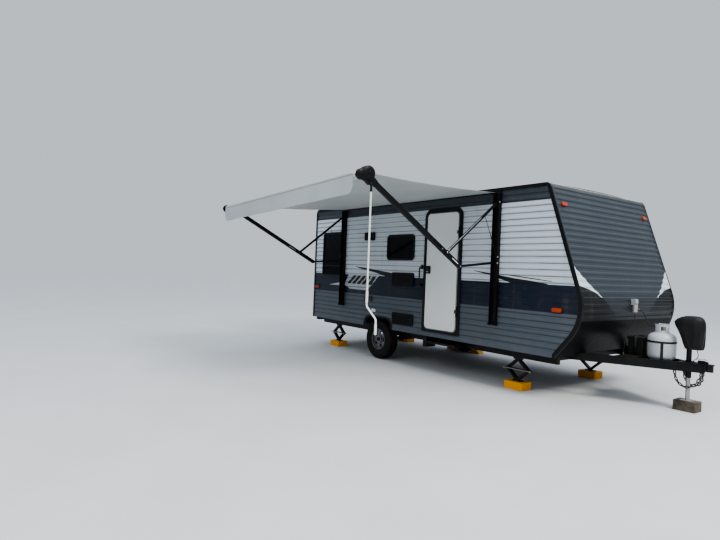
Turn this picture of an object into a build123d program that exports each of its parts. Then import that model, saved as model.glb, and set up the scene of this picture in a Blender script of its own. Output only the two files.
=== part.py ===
"""Single-axle travel caravan, parked on its jack and stabilizers with its awning out.

Millimetres. The origin is the centre of the ball socket in the coupler. +X points
forward along the tongue, +Y to the road side and +Z up. The entry door and the
awning are on the -Y side.
"""
import os
from math import asin, atan2, cos, degrees, hypot, radians, sin, tan

from build123d import *

os.makedirs("parts", exist_ok=True)

# Where the trailer stands
coupler_height = 500.0
axle_back = 4650.0
ground_z = -coupler_height
axle_x = -axle_back


def up(height):
    """Z of a point at this height above the ground."""
    return ground_z + height


def fore(distance):
    """X of a point this far ahead of the axle."""
    return axle_x + distance


# Body shell, with its nose outline
rear_x = fore(-2087.0)
bottom_z = up(531.0)
top_z = up(2667.0)
body_width = 2320.0
wall_t = 40.0
half_width = body_width / 2
inner_half = half_width - wall_t
roof_front_x = fore(3262.0)
nose_x = fore(3825.0)
nose_z = up(1038.0)
foot_x = fore(3405.0)
roof_rear_r = 60.0
roof_front_r = 70.0
nose_r = 600.0
skirt_top_z = up(1000.0)
roof_line_z = top_z - 65.0
roof_crown = 22.0

# Level ribs pressed into the siding. A crest is half of its flat top, and the grooves are cut between the crests.
rib_pitch = 80.0
rib_crest = 5.0
rib_shoulder = 21.0
rib_deep = 7.0
rib_low_z = up(570.0)
rib_count = 25
front_rib_start = 42.5
front_rib_count = 21

# Frame under the floor
rail_top_z = up(566.0)
rail_deep = 150.0
rail_wide = 60.0
rail_front_x = fore(3300.0)
floor_t = 40.0
cross_wide = 60.0
cross_deep = 100.0
tongue_deep = 100.0
tongue_wide = 40.0
tongue_half_angle = 25.0
tongue_apex_x = fore(4640.0)
tongue_tip_x = fore(4600.0)

# Wheels and axle
tyre_r = 331.5
tyre_wide = 205.0
rim_r = 178.0
rim_wide = 160.0
wheel_inset = 7.5
track_half = half_width - wheel_inset - tyre_wide / 2
wheel_clear = 32.5
rail_y = track_half - tyre_wide / 2 - wheel_clear - rail_wide / 2
spindle_r = 20.0
axle_r = 30.0
run_gap = 0.05
seat_gap = 0.3
well_long = 860.0
well_clear = 117.5
well_inner_y = track_half - tyre_wide / 2 - well_clear
well_top_z = up(800.0)
well_t = 8.0
arch_long = 720.0
arch_top_z = up(700.0)

# Coupler, jack and what stands on the tongue
ball_r = 25.6
socket_deep = 30.0
socket_low_z = -12.0
jack_x = fore(4430.0)
jack_tube_r = 28.5
jack_leg_r = 23.5
slide_gap = 0.5
block_high = 120.0
foot_t = 6.0
foot_side = 130.0
jack_top_z = up(729.0)
tank_x = fore(4120.0)
tank_r = 158.5
tank_bottom_z = up(535.0)
tank_high = 452.0

# Entry door
door_x = fore(1479.0)
door_z = up(1522.0)
door_wide = 658.0
door_high = 1758.0
door_r = 70.0
door_gap = 5.0
door_t = 43.0
flange_t = 12.0
door_flange = 46.0
knuckle_r = 7.0

# Baggage door on the road side
hatch_x = fore(2850.0)
hatch_z = up(830.0)
hatch_wide = 640.0
hatch_high = 340.0
hatch_r = 30.0

# Awning: one linkage at each end, worked from a top pivot and a middle pivot on the wall channel
awning_front_x = fore(2480.0)
awning_rear_x = fore(-1060.0)
pivot_out = 45.0
top_pivot_z = up(2470.0)
mid_pivot_z = up(1660.0)
elbow_out = 960.0
elbow_z = up(1755.0)
arm_long = 1480.0
arm_tail = 310.0
arm_deep = 56.0
arm_wide = 42.0
front_arm_tilt = 31.8
rear_arm_tilt = 27.2
head_deep = 64.0
slot_deep = 14.0
slot_shares = (0.06, 0.17)
roller_r = 50.0
pin_r = 6.0


def export(piece, label):
    """Label one finished piece and write its STEP file."""
    piece.label = label
    export_step(piece, f"parts/{label}.step")


def tongue_y(x, inset=0.0):
    """Half width of the tongue's outer face at this x, or of a line this far inside it."""
    half_angle = radians(tongue_half_angle)
    return (tongue_apex_x - x) * tan(half_angle) - inset / cos(half_angle)


def side_face(inset=0.0):
    """Face of the body's side outline in X and Z, moved inwards by inset."""
    corners = [
        (rear_x, bottom_z, 0.0),
        (rear_x, top_z, roof_rear_r),
        (roof_front_x, top_z, roof_front_r),
        (nose_x, nose_z, nose_r),
        (foot_x, bottom_z, 0.0),
    ]
    with BuildSketch() as side:
        with BuildLine():
            Polyline(*[(x, z) for x, z, r in corners], close=True)
        make_face()
        for x, z, r in corners:
            if r > 0:
                fillet(side.vertices().sort_by_distance((x, z))[0], r)
        if inset:
            offset(amount=-inset, kind=Kind.INTERSECTION)
    return side.sketch


def add_skin(x_low, x_high, z_low, z_high):
    """Add to the open sketch the front, roof or rear skin inside this range of X and Z."""
    add(side_face())
    add(side_face(wall_t), mode=Mode.SUBTRACT)
    with Locations(((x_low + x_high) / 2, (z_low + z_high) / 2)):
        Rectangle(x_high - x_low, z_high - z_low, mode=Mode.INTERSECT)


def front_spot(distance):
    """Point (x, z) and slope in degrees on the front outline, this far down from the roof's front corner."""
    down = Vector(nose_x - roof_front_x, nose_z - top_z).normalized()
    under = Vector(foot_x - nose_x, bottom_z - nose_z).normalized()
    turn = radians(down.get_angle(under))
    straight = hypot(nose_x - roof_front_x, nose_z - top_z) - nose_r * tan(turn / 2)
    slope = degrees(atan2(down.Y, down.X))
    along = min(distance, straight)
    x, z = roof_front_x + along * down.X, top_z + along * down.Y
    if distance > straight:
        swing = (distance - straight) / nose_r
        centre_x, centre_z = x + nose_r * down.Y, z - nose_r * down.X
        slope -= degrees(swing)
        x, z = centre_x - nose_r * sin(radians(slope)), centre_z + nose_r * cos(radians(slope))
    return x, z, slope


def rib_groove():
    """Face of the groove between two ribs: its mouth along X from one rib's crest, its land below at -Y."""
    reach = rib_shoulder ** 2 + rib_deep ** 2
    r = reach / (2 * rib_deep)
    half_turn = asin(rib_shoulder / r) / 2
    mid_u, mid_v = rib_crest + r * sin(half_turn), -r * (1 - cos(half_turn))
    low_u = rib_crest + rib_shoulder
    with BuildSketch() as groove:
        with BuildLine():
            ThreePointArc((rib_crest, 0), (mid_u, mid_v), (low_u, -rib_deep))
            Line((low_u, -rib_deep), (rib_pitch - low_u, -rib_deep))
            ThreePointArc((rib_pitch - low_u, -rib_deep), (rib_pitch - mid_u, mid_v), (rib_pitch - rib_crest, 0))
            Polyline((rib_pitch - rib_crest, 0), (rib_pitch - rib_crest, 1), (rib_crest, 1), (rib_crest, 0))
        make_face()
    return groove.sketch


def cut_wall_ribs(plane, out, reach):
    """Cut the level grooves into the open part's wall. X is up on the plane, Y is out, and out is the face's place."""
    with BuildSketch(plane) as grooves:
        for k in range(rib_count):
            with Locations((rib_low_z + k * rib_pitch, out)):
                add(rib_groove())
    extrude(to_extrude=grooves.sketch, amount=reach, both=True, mode=Mode.SUBTRACT)


def side_plane(side, out=0.0):
    """Plane on the outer face of one side wall, X forward and Y up, facing away from the body."""
    return Plane(origin=(0, side * (half_width + out), 0), x_dir=(-side, 0, 0), z_dir=(0, side, 0))


def side_spot(side, x, z):
    """Place of a point of a side wall on its side_plane."""
    return (-side * x, z)


# Openings in the side walls: side, fore, height, width, height of the clear hole, corner radius
windows = [
    (-1, 530.0, 1890.0, 630.0, 370.0, 45.0),
    (-1, -1460.0, 1780.0, 610.0, 790.0, 45.0),
    (1, -1350.0, 1800.0, 900.0, 560.0, 45.0),
    (1, 1950.0, 1900.0, 520.0, 400.0, 45.0),
]
window_lip = 25.0
window_sleeve = 6.0
glass_t = 5.0

# Side walls, with their windows, doors and wheel arches cut
for side, label in [(-1, "side_wall_right"), (1, "side_wall_left")]:
    face = side_plane(side)
    with BuildPart() as side_wall:
        with BuildSketch(Plane.XZ.offset(-side * half_width)):
            add(side_face())
        extrude(amount=side * wall_t)
        with BuildSketch(face):
            for at, x, height, wide, high, r in windows:
                if at == side:
                    with Locations(side_spot(side, fore(x), up(height))):
                        RectangleRounded(wide, high, r)
            if side < 0:
                with Locations(side_spot(side, door_x, door_z)):
                    RectangleRounded(door_wide + 34.0, door_high + 34.0, door_r + 17.0)
            else:
                with Locations(side_spot(side, hatch_x, hatch_z)):
                    RectangleRounded(hatch_wide + 34.0, hatch_high + 34.0, hatch_r + 17.0)
            arch_high = 2 * (arch_top_z - bottom_z)
            with Locations(side_spot(side, axle_x, bottom_z)):
                RectangleRounded(arch_long, arch_high, arch_high / 2 - 20.0)
        extrude(amount=-wall_t, mode=Mode.SUBTRACT)
        cut_wall_ribs(Plane(origin=((rear_x + nose_x) / 2, 0, 0), x_dir=(0, 0, 1), z_dir=(-side, 0, 0)),
                      half_width, nose_x - rear_x)
    export(side_wall.part, label)

# Front wall, smooth front skirt, rear wall and crowned roof between the side walls
shell_pieces = [
    # label, from x, to x, from z, to z
    ("front_wall", fore(2900.0), nose_x, skirt_top_z, roof_line_z),
    ("front_skirt", fore(2900.0), nose_x, bottom_z, skirt_top_z),
    ("rear_wall", rear_x, rear_x + wall_t, bottom_z, roof_line_z),
]
for label, x_low, x_high, z_low, z_high in shell_pieces:
    with BuildPart() as shell_piece:
        with BuildSketch(Plane.XZ):
            add_skin(x_low, x_high, z_low, z_high)
        extrude(amount=inner_half, both=True)
        if label == "front_skirt":
            with Locations((fore(3000.0), 0, bottom_z + wall_t / 2)):
                Box(2 * (foot_x - fore(3000.0)) - 40.0, body_width, wall_t + 2.0, mode=Mode.SUBTRACT)
            with Locations((foot_x, 0, rail_top_z - 49.0)):
                Box(400.0, 2 * tongue_y(rail_front_x) + 60.0, 100.0, mode=Mode.SUBTRACT)
        if label == "rear_wall":
            cut_wall_ribs(Plane(origin=(0, 0, 0), x_dir=(0, 0, 1), z_dir=(0, -1, 0)), -rear_x, half_width)
        if label == "front_wall":
            with BuildSketch(Plane.XZ) as grooves:
                for k in range(front_rib_count):
                    x, z, slope = front_spot(front_rib_start + (k + 0.5) * rib_pitch)
                    with Locations(Location((x, z), slope)):
                        with Locations((-rib_pitch / 2, 0)):
                            add(rib_groove())
            extrude(to_extrude=grooves.sketch, amount=half_width, both=True, mode=Mode.SUBTRACT)
    export(shell_piece.part, label)

with BuildPart() as roof:
    with BuildSketch(Plane.XZ):
        add_skin(rear_x, nose_x, roof_line_z, top_z)
    extrude(amount=inner_half, both=True)
    with BuildSketch(Plane.YZ.offset(rear_x + roof_rear_r)):
        with BuildLine():
            crown_half = inner_half - 60.0
            ThreePointArc((-crown_half, top_z), (0, top_z + roof_crown), (crown_half, top_z))
            Line((crown_half, top_z), (-crown_half, top_z))
        make_face()
    extrude(amount=roof_front_x - rear_x - roof_rear_r - roof_front_r)
export(roof.part, "roof")

# Floor, with the wheel wells let into it
floor_front_x = fore(3385.0)
with BuildPart() as floor:
    floor_long = floor_front_x - rear_x - wall_t
    with Locations((rear_x + wall_t + floor_long / 2, 0, rail_top_z + floor_t / 2)):
        Box(floor_long, 2 * inner_half, floor_t)
    for side in (-1, 1):
        well_wide = inner_half - well_inner_y
        with Locations((axle_x, side * (well_inner_y + well_wide / 2), rail_top_z + floor_t / 2)):
            Box(well_long - 2 * well_t, well_wide, floor_t, mode=Mode.SUBTRACT)
    well_high = well_top_z - rail_top_z
    for side in (-1, 1):
        with Locations((axle_x, side * (well_inner_y + well_wide / 2), rail_top_z + well_high / 2)):
            Box(well_long, well_wide, well_high)
        with Locations((axle_x, side * (well_inner_y + well_t + well_wide / 2),
                        rail_top_z + (well_high - well_t) / 2)):
            Box(well_long - 2 * well_t, well_wide, well_high - well_t, mode=Mode.SUBTRACT)
export(floor.part, "floor")

# Main rails under the floor and the cross members between them
with BuildPart() as frame_rails:
    rail_rear_x = rear_x + wall_t
    for side in (-1, 1):
        with Locations(((rail_rear_x + rail_front_x) / 2, side * rail_y, rail_top_z - rail_deep / 2)):
            Box(rail_front_x - rail_rear_x, rail_wide, rail_deep)
export(frame_rails.part, "frame_rails")

with BuildPart() as cross_members:
    cross_long = 2 * rail_y - rail_wide
    for x in (-2010.0, -1050.0, 900.0, 1950.0, 3270.0):
        with Locations((fore(x), 0, rail_top_z - cross_deep / 2)):
            Box(cross_wide, cross_long, cross_deep)
    # Short brackets from the rails out to the foot of each side wall
    bracket_long = inner_half - rail_y - rail_wide / 2
    for x in (-1850.0, -800.0, 700.0, 2000.0, 3100.0):
        for side in (-1, 1):
            with Locations((fore(x), side * (inner_half - bracket_long / 2), rail_top_z - 25.0)):
                Box(50.0, bracket_long, 50.0)
export(cross_members.part, "cross_members")

# Rear bumper tube on two arms that leave the rails
bumper_side = 100.0
bumper_x = fore(-2145.0)
bumper_half = 1000.0
with BuildPart() as rear_bumper:
    with Locations((bumper_x, 0, up(510.0))):
        Box(bumper_side, 2 * bumper_half, bumper_side)
    fillet(rear_bumper.edges().filter_by(Axis.Y), 10.0)
    with BuildSketch(Plane.XZ.offset(-bumper_half)):
        with Locations((bumper_x, up(510.0))):
            Rectangle(bumper_side - 16.0, bumper_side - 16.0)
    extrude(amount=2 * bumper_half, mode=Mode.SUBTRACT)
    arm_long_x = rear_x + wall_t - (bumper_x + bumper_side / 2)
    for side in (-1, 1):
        with Locations((bumper_x + bumper_side / 2 + arm_long_x / 2, side * rail_y, bottom_z - 1.0 - 35.0)):
            Box(arm_long_x, rail_wide, 70.0)
export(rear_bumper.part, "rear_bumper")

# Tongue rails, one V in plan
inner_apex_x = tongue_apex_x - tongue_wide / sin(radians(tongue_half_angle))
with BuildPart() as tongue_rails:
    with BuildSketch(Plane.XY.offset(rail_top_z - tongue_deep)):
        with BuildLine():
            Polyline(
                (rail_front_x, tongue_y(rail_front_x)),
                (tongue_tip_x, tongue_y(tongue_tip_x)),
                (tongue_tip_x, -tongue_y(tongue_tip_x)),
                (rail_front_x, -tongue_y(rail_front_x)),
                (rail_front_x, -tongue_y(rail_front_x, tongue_wide)),
                (inner_apex_x, 0),
                (rail_front_x, tongue_y(rail_front_x, tongue_wide)),
                close=True,
            )
        make_face()
    extrude(amount=tongue_deep)
export(tongue_rails.part, "tongue_rails")

# Coupler: a wedge plate on the tongue's tip, the socket housing and its latch
plate_t = 8.0
plate_rear_x = fore(4350.0)
housing_r = 40.0
with BuildPart() as coupler:
    with BuildSketch(Plane.XY.offset(rail_top_z)):
        with BuildLine():
            Polyline(
                (plate_rear_x, tongue_y(plate_rear_x)),
                (tongue_tip_x, housing_r),
                (0, housing_r),
                (0, -housing_r),
                (tongue_tip_x, -housing_r),
                (plate_rear_x, -tongue_y(plate_rear_x)),
                close=True,
            )
        make_face()
        Circle(housing_r + 10.0)
        with Locations((jack_x, 0)):
            Circle(jack_tube_r + seat_gap, mode=Mode.SUBTRACT)
    extrude(amount=plate_t)
    with BuildSketch(Plane.XY.offset(socket_low_z)):
        Circle(housing_r)
        with Locations((tongue_tip_x / 2, 0)):
            Rectangle(-tongue_tip_x, 2 * housing_r - 16.0)
    extrude(amount=rail_top_z - socket_low_z)
    with BuildSketch(Plane.XY.offset(socket_low_z)):
        Circle(ball_r)
    extrude(amount=socket_deep, mode=Mode.SUBTRACT)
    with Locations((0, 0, socket_low_z + socket_deep)):
        Sphere(ball_r, mode=Mode.SUBTRACT)
    with BuildSketch(Plane.XZ):
        with BuildLine():
            latch_z = rail_top_z + plate_t
            Polyline((-120, latch_z), (-20, latch_z), (-10, latch_z + 20), (-60, latch_z + 34),
                     (-120, latch_z + 30), close=True)
        make_face()
    extrude(amount=14.0, both=True)
export(coupler.part, "coupler")

# Jack: fixed outer tube with its flange, sliding leg with its foot, and the wood block below
jack_low_z = up(450.0)
with BuildPart() as jack_tube:
    with BuildSketch(Plane.XY.offset(jack_low_z)):
        with Locations((jack_x, 0)):
            Circle(jack_tube_r)
            Circle(jack_leg_r + slide_gap, mode=Mode.SUBTRACT)
    extrude(amount=jack_top_z - jack_low_z)
    with BuildSketch(Plane.XY.offset(rail_top_z + plate_t)):
        with Locations((jack_x, 0)):
            Circle(60.0)
            Circle(jack_tube_r - 2.0, mode=Mode.SUBTRACT)
    extrude(amount=8.0)
export(jack_tube.part, "jack_tube")

with BuildPart() as jack_leg:
    with BuildSketch(Plane.XY.offset(up(block_high + foot_t))):
        with Locations((jack_x, 0)):
            Circle(jack_leg_r)
    extrude(amount=jack_low_z + 20.0 - up(block_high + foot_t))
    with BuildSketch(Plane.XY.offset(up(block_high))):
        with Locations((jack_x, 0)):
            RectangleRounded(foot_side, foot_side, 15.0)
    extrude(amount=foot_t)
export(jack_leg.part, "jack_leg")

with BuildPart() as wood_block:
    with Locations((jack_x, 0, up(block_high / 2))):
        Box(240.0, 190.0, block_high)
    chamfer(wood_block.edges(), 4.0)
export(wood_block.part, "wood_block")

# Fabric cover over the jack head: height above ground, fore end, rear end, half width
cover_rows = [
    (729.0 + seat_gap, 4392.0, 4565.0, 62.0),
    (860.0, 4332.0, 4585.0, 78.0),
    (1000.0, 4296.0, 4590.0, 85.0),
    (1085.0, 4330.0, 4575.0, 75.0),
    (1112.0, 4385.0, 4540.0, 50.0),
]
with BuildPart() as jack_cover:
    for height, x_low, x_high, half in cover_rows:
        with BuildSketch(Plane.XY.offset(up(height))):
            with Locations((fore((x_low + x_high) / 2), 0)):
                RectangleRounded(x_high - x_low, 2 * half, half * 0.6)
    loft(ruled=True)
export(jack_cover.part, "jack_cover")

# Gas bottle on a tray between the tongue rails, with its strap
with BuildPart() as gas_bottle:
    axis_plane = Plane(origin=(tank_x, 0, tank_bottom_z), x_dir=(1, 0, 0), z_dir=(0, -1, 0))
    with BuildSketch(axis_plane):
        with BuildLine():
            foot_r = 104.0
            Polyline((0, 20), (foot_r - 4, 20), (foot_r - 4, 0), (foot_r, 0), (foot_r, 26))
            Spline((foot_r, 26), (tank_r, 84), tangents=[(1, 0.1), (0, 1)])
            Line((tank_r, 84), (tank_r, 262))
            Spline((tank_r, 262), (foot_r, 344), (0, 362), tangents=[(0, 1), (-1, 0)])
            Line((0, 362), (0, 20))
        make_face()
    revolve(axis=Axis((tank_x, 0, 0), (0, 0, 1)))
    with BuildSketch(Plane.XY.offset(tank_bottom_z + 330)):
        with Locations((tank_x, 0)):
            Circle(foot_r)
            Circle(foot_r - 3, mode=Mode.SUBTRACT)
    extrude(amount=tank_high - 330)
    with BuildSketch(Plane.XY.offset(tank_bottom_z + 350)):
        with Locations((tank_x, 0)):
            Circle(16)
    extrude(amount=60)
    with Locations((tank_x + foot_r, 0, tank_bottom_z + 405), (tank_x - foot_r, 0, tank_bottom_z + 405)):
        Box(40, 90, 44, mode=Mode.SUBTRACT)
export(gas_bottle.part, "gas_bottle")

with BuildPart() as tongue_plates:
    tray_rear_x = fore(3950.0)
    tray_front_x = fore(4300.0)
    with BuildSketch(Plane.XY.offset(tank_bottom_z - 6)):
        with BuildLine():
            Polyline(
                (tray_rear_x, tongue_y(tray_rear_x, tongue_wide)),
                (tray_front_x, tongue_y(tray_front_x, tongue_wide)),
                (tray_front_x, -tongue_y(tray_front_x, tongue_wide)),
                (tray_rear_x, -tongue_y(tray_rear_x, tongue_wide)),
                close=True,
            )
        make_face()
    extrude(amount=6)
    plate_x = fore(3850.0)
    plate_long = 210.0
    with BuildSketch(Plane.XY.offset(rail_top_z)):
        with BuildLine():
            Polyline(
                (plate_x - plate_long / 2, tongue_y(plate_x - plate_long / 2)),
                (plate_x + plate_long / 2, tongue_y(plate_x + plate_long / 2)),
                (plate_x + plate_long / 2, -tongue_y(plate_x + plate_long / 2)),
                (plate_x - plate_long / 2, -tongue_y(plate_x - plate_long / 2)),
                close=True,
            )
        make_face()
    extrude(amount=5)
export(tongue_plates.part, "tongue_plates")

with BuildPart() as bottle_strap:
    strap_t = 3.0
    band_z = tank_bottom_z + 225
    with BuildSketch(Plane.XY.offset(band_z)):
        with Locations((tank_x, 0)):
            Circle(tank_r + seat_gap + strap_t)
            Circle(tank_r + seat_gap, mode=Mode.SUBTRACT)
    extrude(amount=24)
    with BuildSketch(Plane.XY.offset(tank_bottom_z)):
        with Locations((tank_x, 0)):
            with PolarLocations(tank_r + seat_gap + strap_t / 2, 3, start_angle=-65):
                Rectangle(strap_t, 30)
    extrude(amount=band_z + 2 - tank_bottom_z)
export(bottle_strap.part, "bottle_strap")

# Battery box on its plate

with BuildPart() as battery_box:
    with Locations((plate_x, 60, rail_top_z + 5 + 100)):
        Box(190, 330, 200)
    fillet(battery_box.edges().filter_by(Axis.Z), 18)
    with Locations((plate_x, 60, rail_top_z + 5 + 200 + 15)):
        Box(204, 344, 30)
    fillet(battery_box.edges().group_by(Axis.Z)[-1], 8)
export(battery_box.part, "battery_box")

# Axle beam with its spindles and spring seats, and the leaf springs with their hangers
axle_z = up(tyre_r)
spring_wide = 45.0
spring_t = 16.0
seat_low_z = axle_z - axle_r - 6.0
with BuildPart() as axle_beam:
    with BuildSketch(Plane.XZ):
        with Locations((axle_x, axle_z)):
            Circle(axle_r)
    extrude(amount=rail_y + 45.0, both=True)
    with BuildSketch(Plane.XZ):
        with Locations((axle_x, axle_z)):
            Circle(spindle_r)
    extrude(amount=track_half + 20.0, both=True)
    for side in (-1, 1):
        with Locations((axle_x, side * rail_y, axle_z - axle_r / 2 - 3.0)):
            Box(70.0, spring_wide, axle_r + 6.0)
export(axle_beam.part, "axle_beam")

spring_half = 330.0
spring_rise = 60.0
with BuildPart() as leaf_springs:
    for side in (-1, 1):
        with BuildSketch(Plane.XZ.offset(-side * rail_y)):
            with BuildLine():
                top = seat_low_z
                Polyline(
                    (axle_x - spring_half, top + spring_rise),
                    (axle_x - 60, top),
                    (axle_x + 60, top),
                    (axle_x + spring_half, top + spring_rise),
                    (axle_x + spring_half, top + spring_rise - spring_t),
                    (axle_x + 60, top - spring_t),
                    (axle_x - 60, top - spring_t),
                    (axle_x - spring_half, top + spring_rise - spring_t),
                    close=True,
                )
            make_face()
        extrude(amount=spring_wide / 2, both=True)
    hanger_low_z = seat_low_z + spring_rise - spring_t - 10.0
    hanger_high = rail_top_z - rail_deep - hanger_low_z
    for side in (-1, 1):
        for end in (-1, 1):
            for edge in (-1, 1):
                with Locations((axle_x + end * (spring_half - 15.0),
                                side * rail_y + edge * (spring_wide / 2 + 3.0),
                                hanger_low_z + hanger_high / 2)):
                    Box(60.0, 6.0, hanger_high)
export(leaf_springs.part, "leaf_springs")

# Wheels: half profile of the tyre as offset from the middle and radius
tyre_half = tyre_wide / 2
for side, label in [(-1, "right"), (1, "left")]:
    wheel_plane = Plane(origin=(axle_x, side * track_half, axle_z), x_dir=(0, side, 0), z_dir=(side, 0, 0))
    wheel_axis = Axis((axle_x, 0, axle_z), (0, 1, 0))
    with BuildPart() as tyre:
        with BuildSketch(wheel_plane) as tyre_profile:
            with BuildLine():
                Polyline((-80, rim_r), (80, rim_r), (tyre_half, 235), (tyre_half, 275), (92, 318),
                         (72, tyre_r), (-72, tyre_r), (-92, 318), (-tyre_half, 275), (-tyre_half, 235),
                         close=True)
            make_face()
            fillet(tyre_profile.vertices().filter_by(lambda v: v.Y > rim_r + 10.0), 12.0)
        revolve(axis=wheel_axis)
    export(tyre.part, f"tyre_{label}")
    with BuildPart() as rim:
        with BuildSketch(wheel_plane):
            with BuildLine():
                Polyline((-rim_wide / 2, rim_r - seat_gap), (rim_wide / 2, rim_r - seat_gap),
                         (rim_wide / 2, rim_r - 14), (-rim_wide / 2, rim_r - 14), close=True)
            make_face()
            with Locations((34.0, (rim_r - 14) / 2)):
                Rectangle(24.0, rim_r - 13)
            with Locations((22.0, 34.0)):
                Rectangle(100.0, 68.0)
        revolve(axis=wheel_axis)
        with BuildSketch(Plane(origin=(axle_x, side * (track_half + 46.5), axle_z), x_dir=(1, 0, 0),
                               z_dir=(0, side, 0))):
            with PolarLocations(112.0, 5):
                RectangleRounded(56.0, 62.0, 18.0)
        extrude(amount=-40.0, mode=Mode.SUBTRACT)
        with BuildSketch(Plane(origin=(axle_x, side * (track_half - 40.0), axle_z), x_dir=(1, 0, 0),
                               z_dir=(0, side, 0))):
            Circle(spindle_r + run_gap)
        extrude(amount=60.0 + run_gap, mode=Mode.SUBTRACT)
    export(rim.part, f"rim_{label}")

# Stabilizer scissors under the rails and the levelling blocks they stand on
scissor_top_z = rail_top_z - rail_deep
pad_high = 100.0
scissor_spots = [(fore(x), side * rail_y) for x in (2700.0, -1530.0) for side in (-1, 1)]
with BuildPart() as stabilizers:
    arm_t = 22.0
    half_span = 190.0
    mid_z = (scissor_top_z + up(pad_high)) / 2
    for x, y in scissor_spots:
        with BuildSketch(Plane.XZ.offset(-y)):
            with BuildLine():
                Polyline((x - half_span, mid_z), (x, scissor_top_z), (x + half_span, mid_z),
                         (x, up(pad_high)), close=True)
            make_face()
            with BuildLine():
                inset = arm_t * 1.7
                Polyline((x - half_span + 1.3 * inset, mid_z), (x, scissor_top_z - inset),
                         (x + half_span - 1.3 * inset, mid_z), (x, up(pad_high) + inset), close=True)
            make_face(mode=Mode.SUBTRACT)
            with Locations((x, scissor_top_z - 12)):
                Rectangle(120, 24)
            with Locations((x, up(pad_high) + 6)):
                Rectangle(150, 12)
            with Locations((x, mid_z)):
                Rectangle(2 * half_span + 30, 16)
            with BuildLine():
                Polyline((x - 400, up(pad_high)), (x + 400, up(pad_high)), (x + 400, scissor_top_z),
                         (x - 400, scissor_top_z), close=True)
            make_face(mode=Mode.INTERSECT)
        extrude(amount=28.0, both=True)
export(stabilizers.part, "stabilizers")

with BuildPart() as levelling_blocks:
    for x, y in scissor_spots:
        with Locations((x, y, up(pad_high / 2))):
            Box(280.0, 220.0, pad_high)
    fillet(levelling_blocks.edges().filter_by(Axis.Z), 12.0)
    # Wheel chocks at both sides of the road-side wheel
    chock_high = 130.0
    with BuildSketch(Plane.XZ.offset(-track_half)):
        for end in (-1, 1):
            with BuildLine():
                Polyline((axle_x + end * 180, ground_z), (axle_x + end * 430, ground_z),
                         (axle_x + end * 400, up(30)), (axle_x + end * 300, up(chock_high)),
                         (axle_x + end * 262, up(chock_high)), close=True)
            make_face()
        with Locations((axle_x, axle_z)):
            Circle(tyre_r + seat_gap, mode=Mode.SUBTRACT)
    extrude(amount=70.0, both=True)
export(levelling_blocks.part, "levelling_blocks")

# Entry step that slides out below the door, in its housing on the rail
step_x = door_x
step_wide = 608.0
step_deep = 225.0
step_t = 30.0
step_z = up(428.0)
housing_t = 8.0
housing_deep = 200.0
housing_wide = step_wide + 4 * housing_t
runner_wide = 20.0
runner_t = 6.0
rail_out_y = -(rail_y + rail_wide / 2)
with BuildPart() as step_housing:
    housing_y = rail_out_y - housing_deep / 2
    side_low_z = step_z - seat_gap - runner_t
    side_high = bottom_z - 33.0 - side_low_z
    for end in (-1, 1):
        with Locations((step_x + end * (housing_wide - housing_t) / 2, housing_y, side_low_z + side_high / 2)):
            Box(housing_t, housing_deep, side_high)
        with Locations((step_x + end * (housing_wide - runner_wide) / 2, housing_y, side_low_z + runner_t / 2)):
            Box(runner_wide, housing_deep, runner_t)
    with Locations((step_x, housing_y, side_low_z + side_high - housing_t / 2)):
        Box(housing_wide, housing_deep, housing_t)
    # Box of the lock beside the step
    with Locations((step_x - housing_wide / 2 - 35.0, housing_y, up(440.0))):
        Box(70.0, housing_deep, 170.0)
export(step_housing.part, "step_housing")

with BuildPart() as entry_step:
    with Locations((step_x, rail_out_y - housing_t - step_deep / 2, step_z + step_t / 2)):
        Box(step_wide, step_deep, step_t)
    fillet(entry_step.edges().filter_by(Axis.Z), 10.0)
export(entry_step.part, "entry_step")

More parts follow.
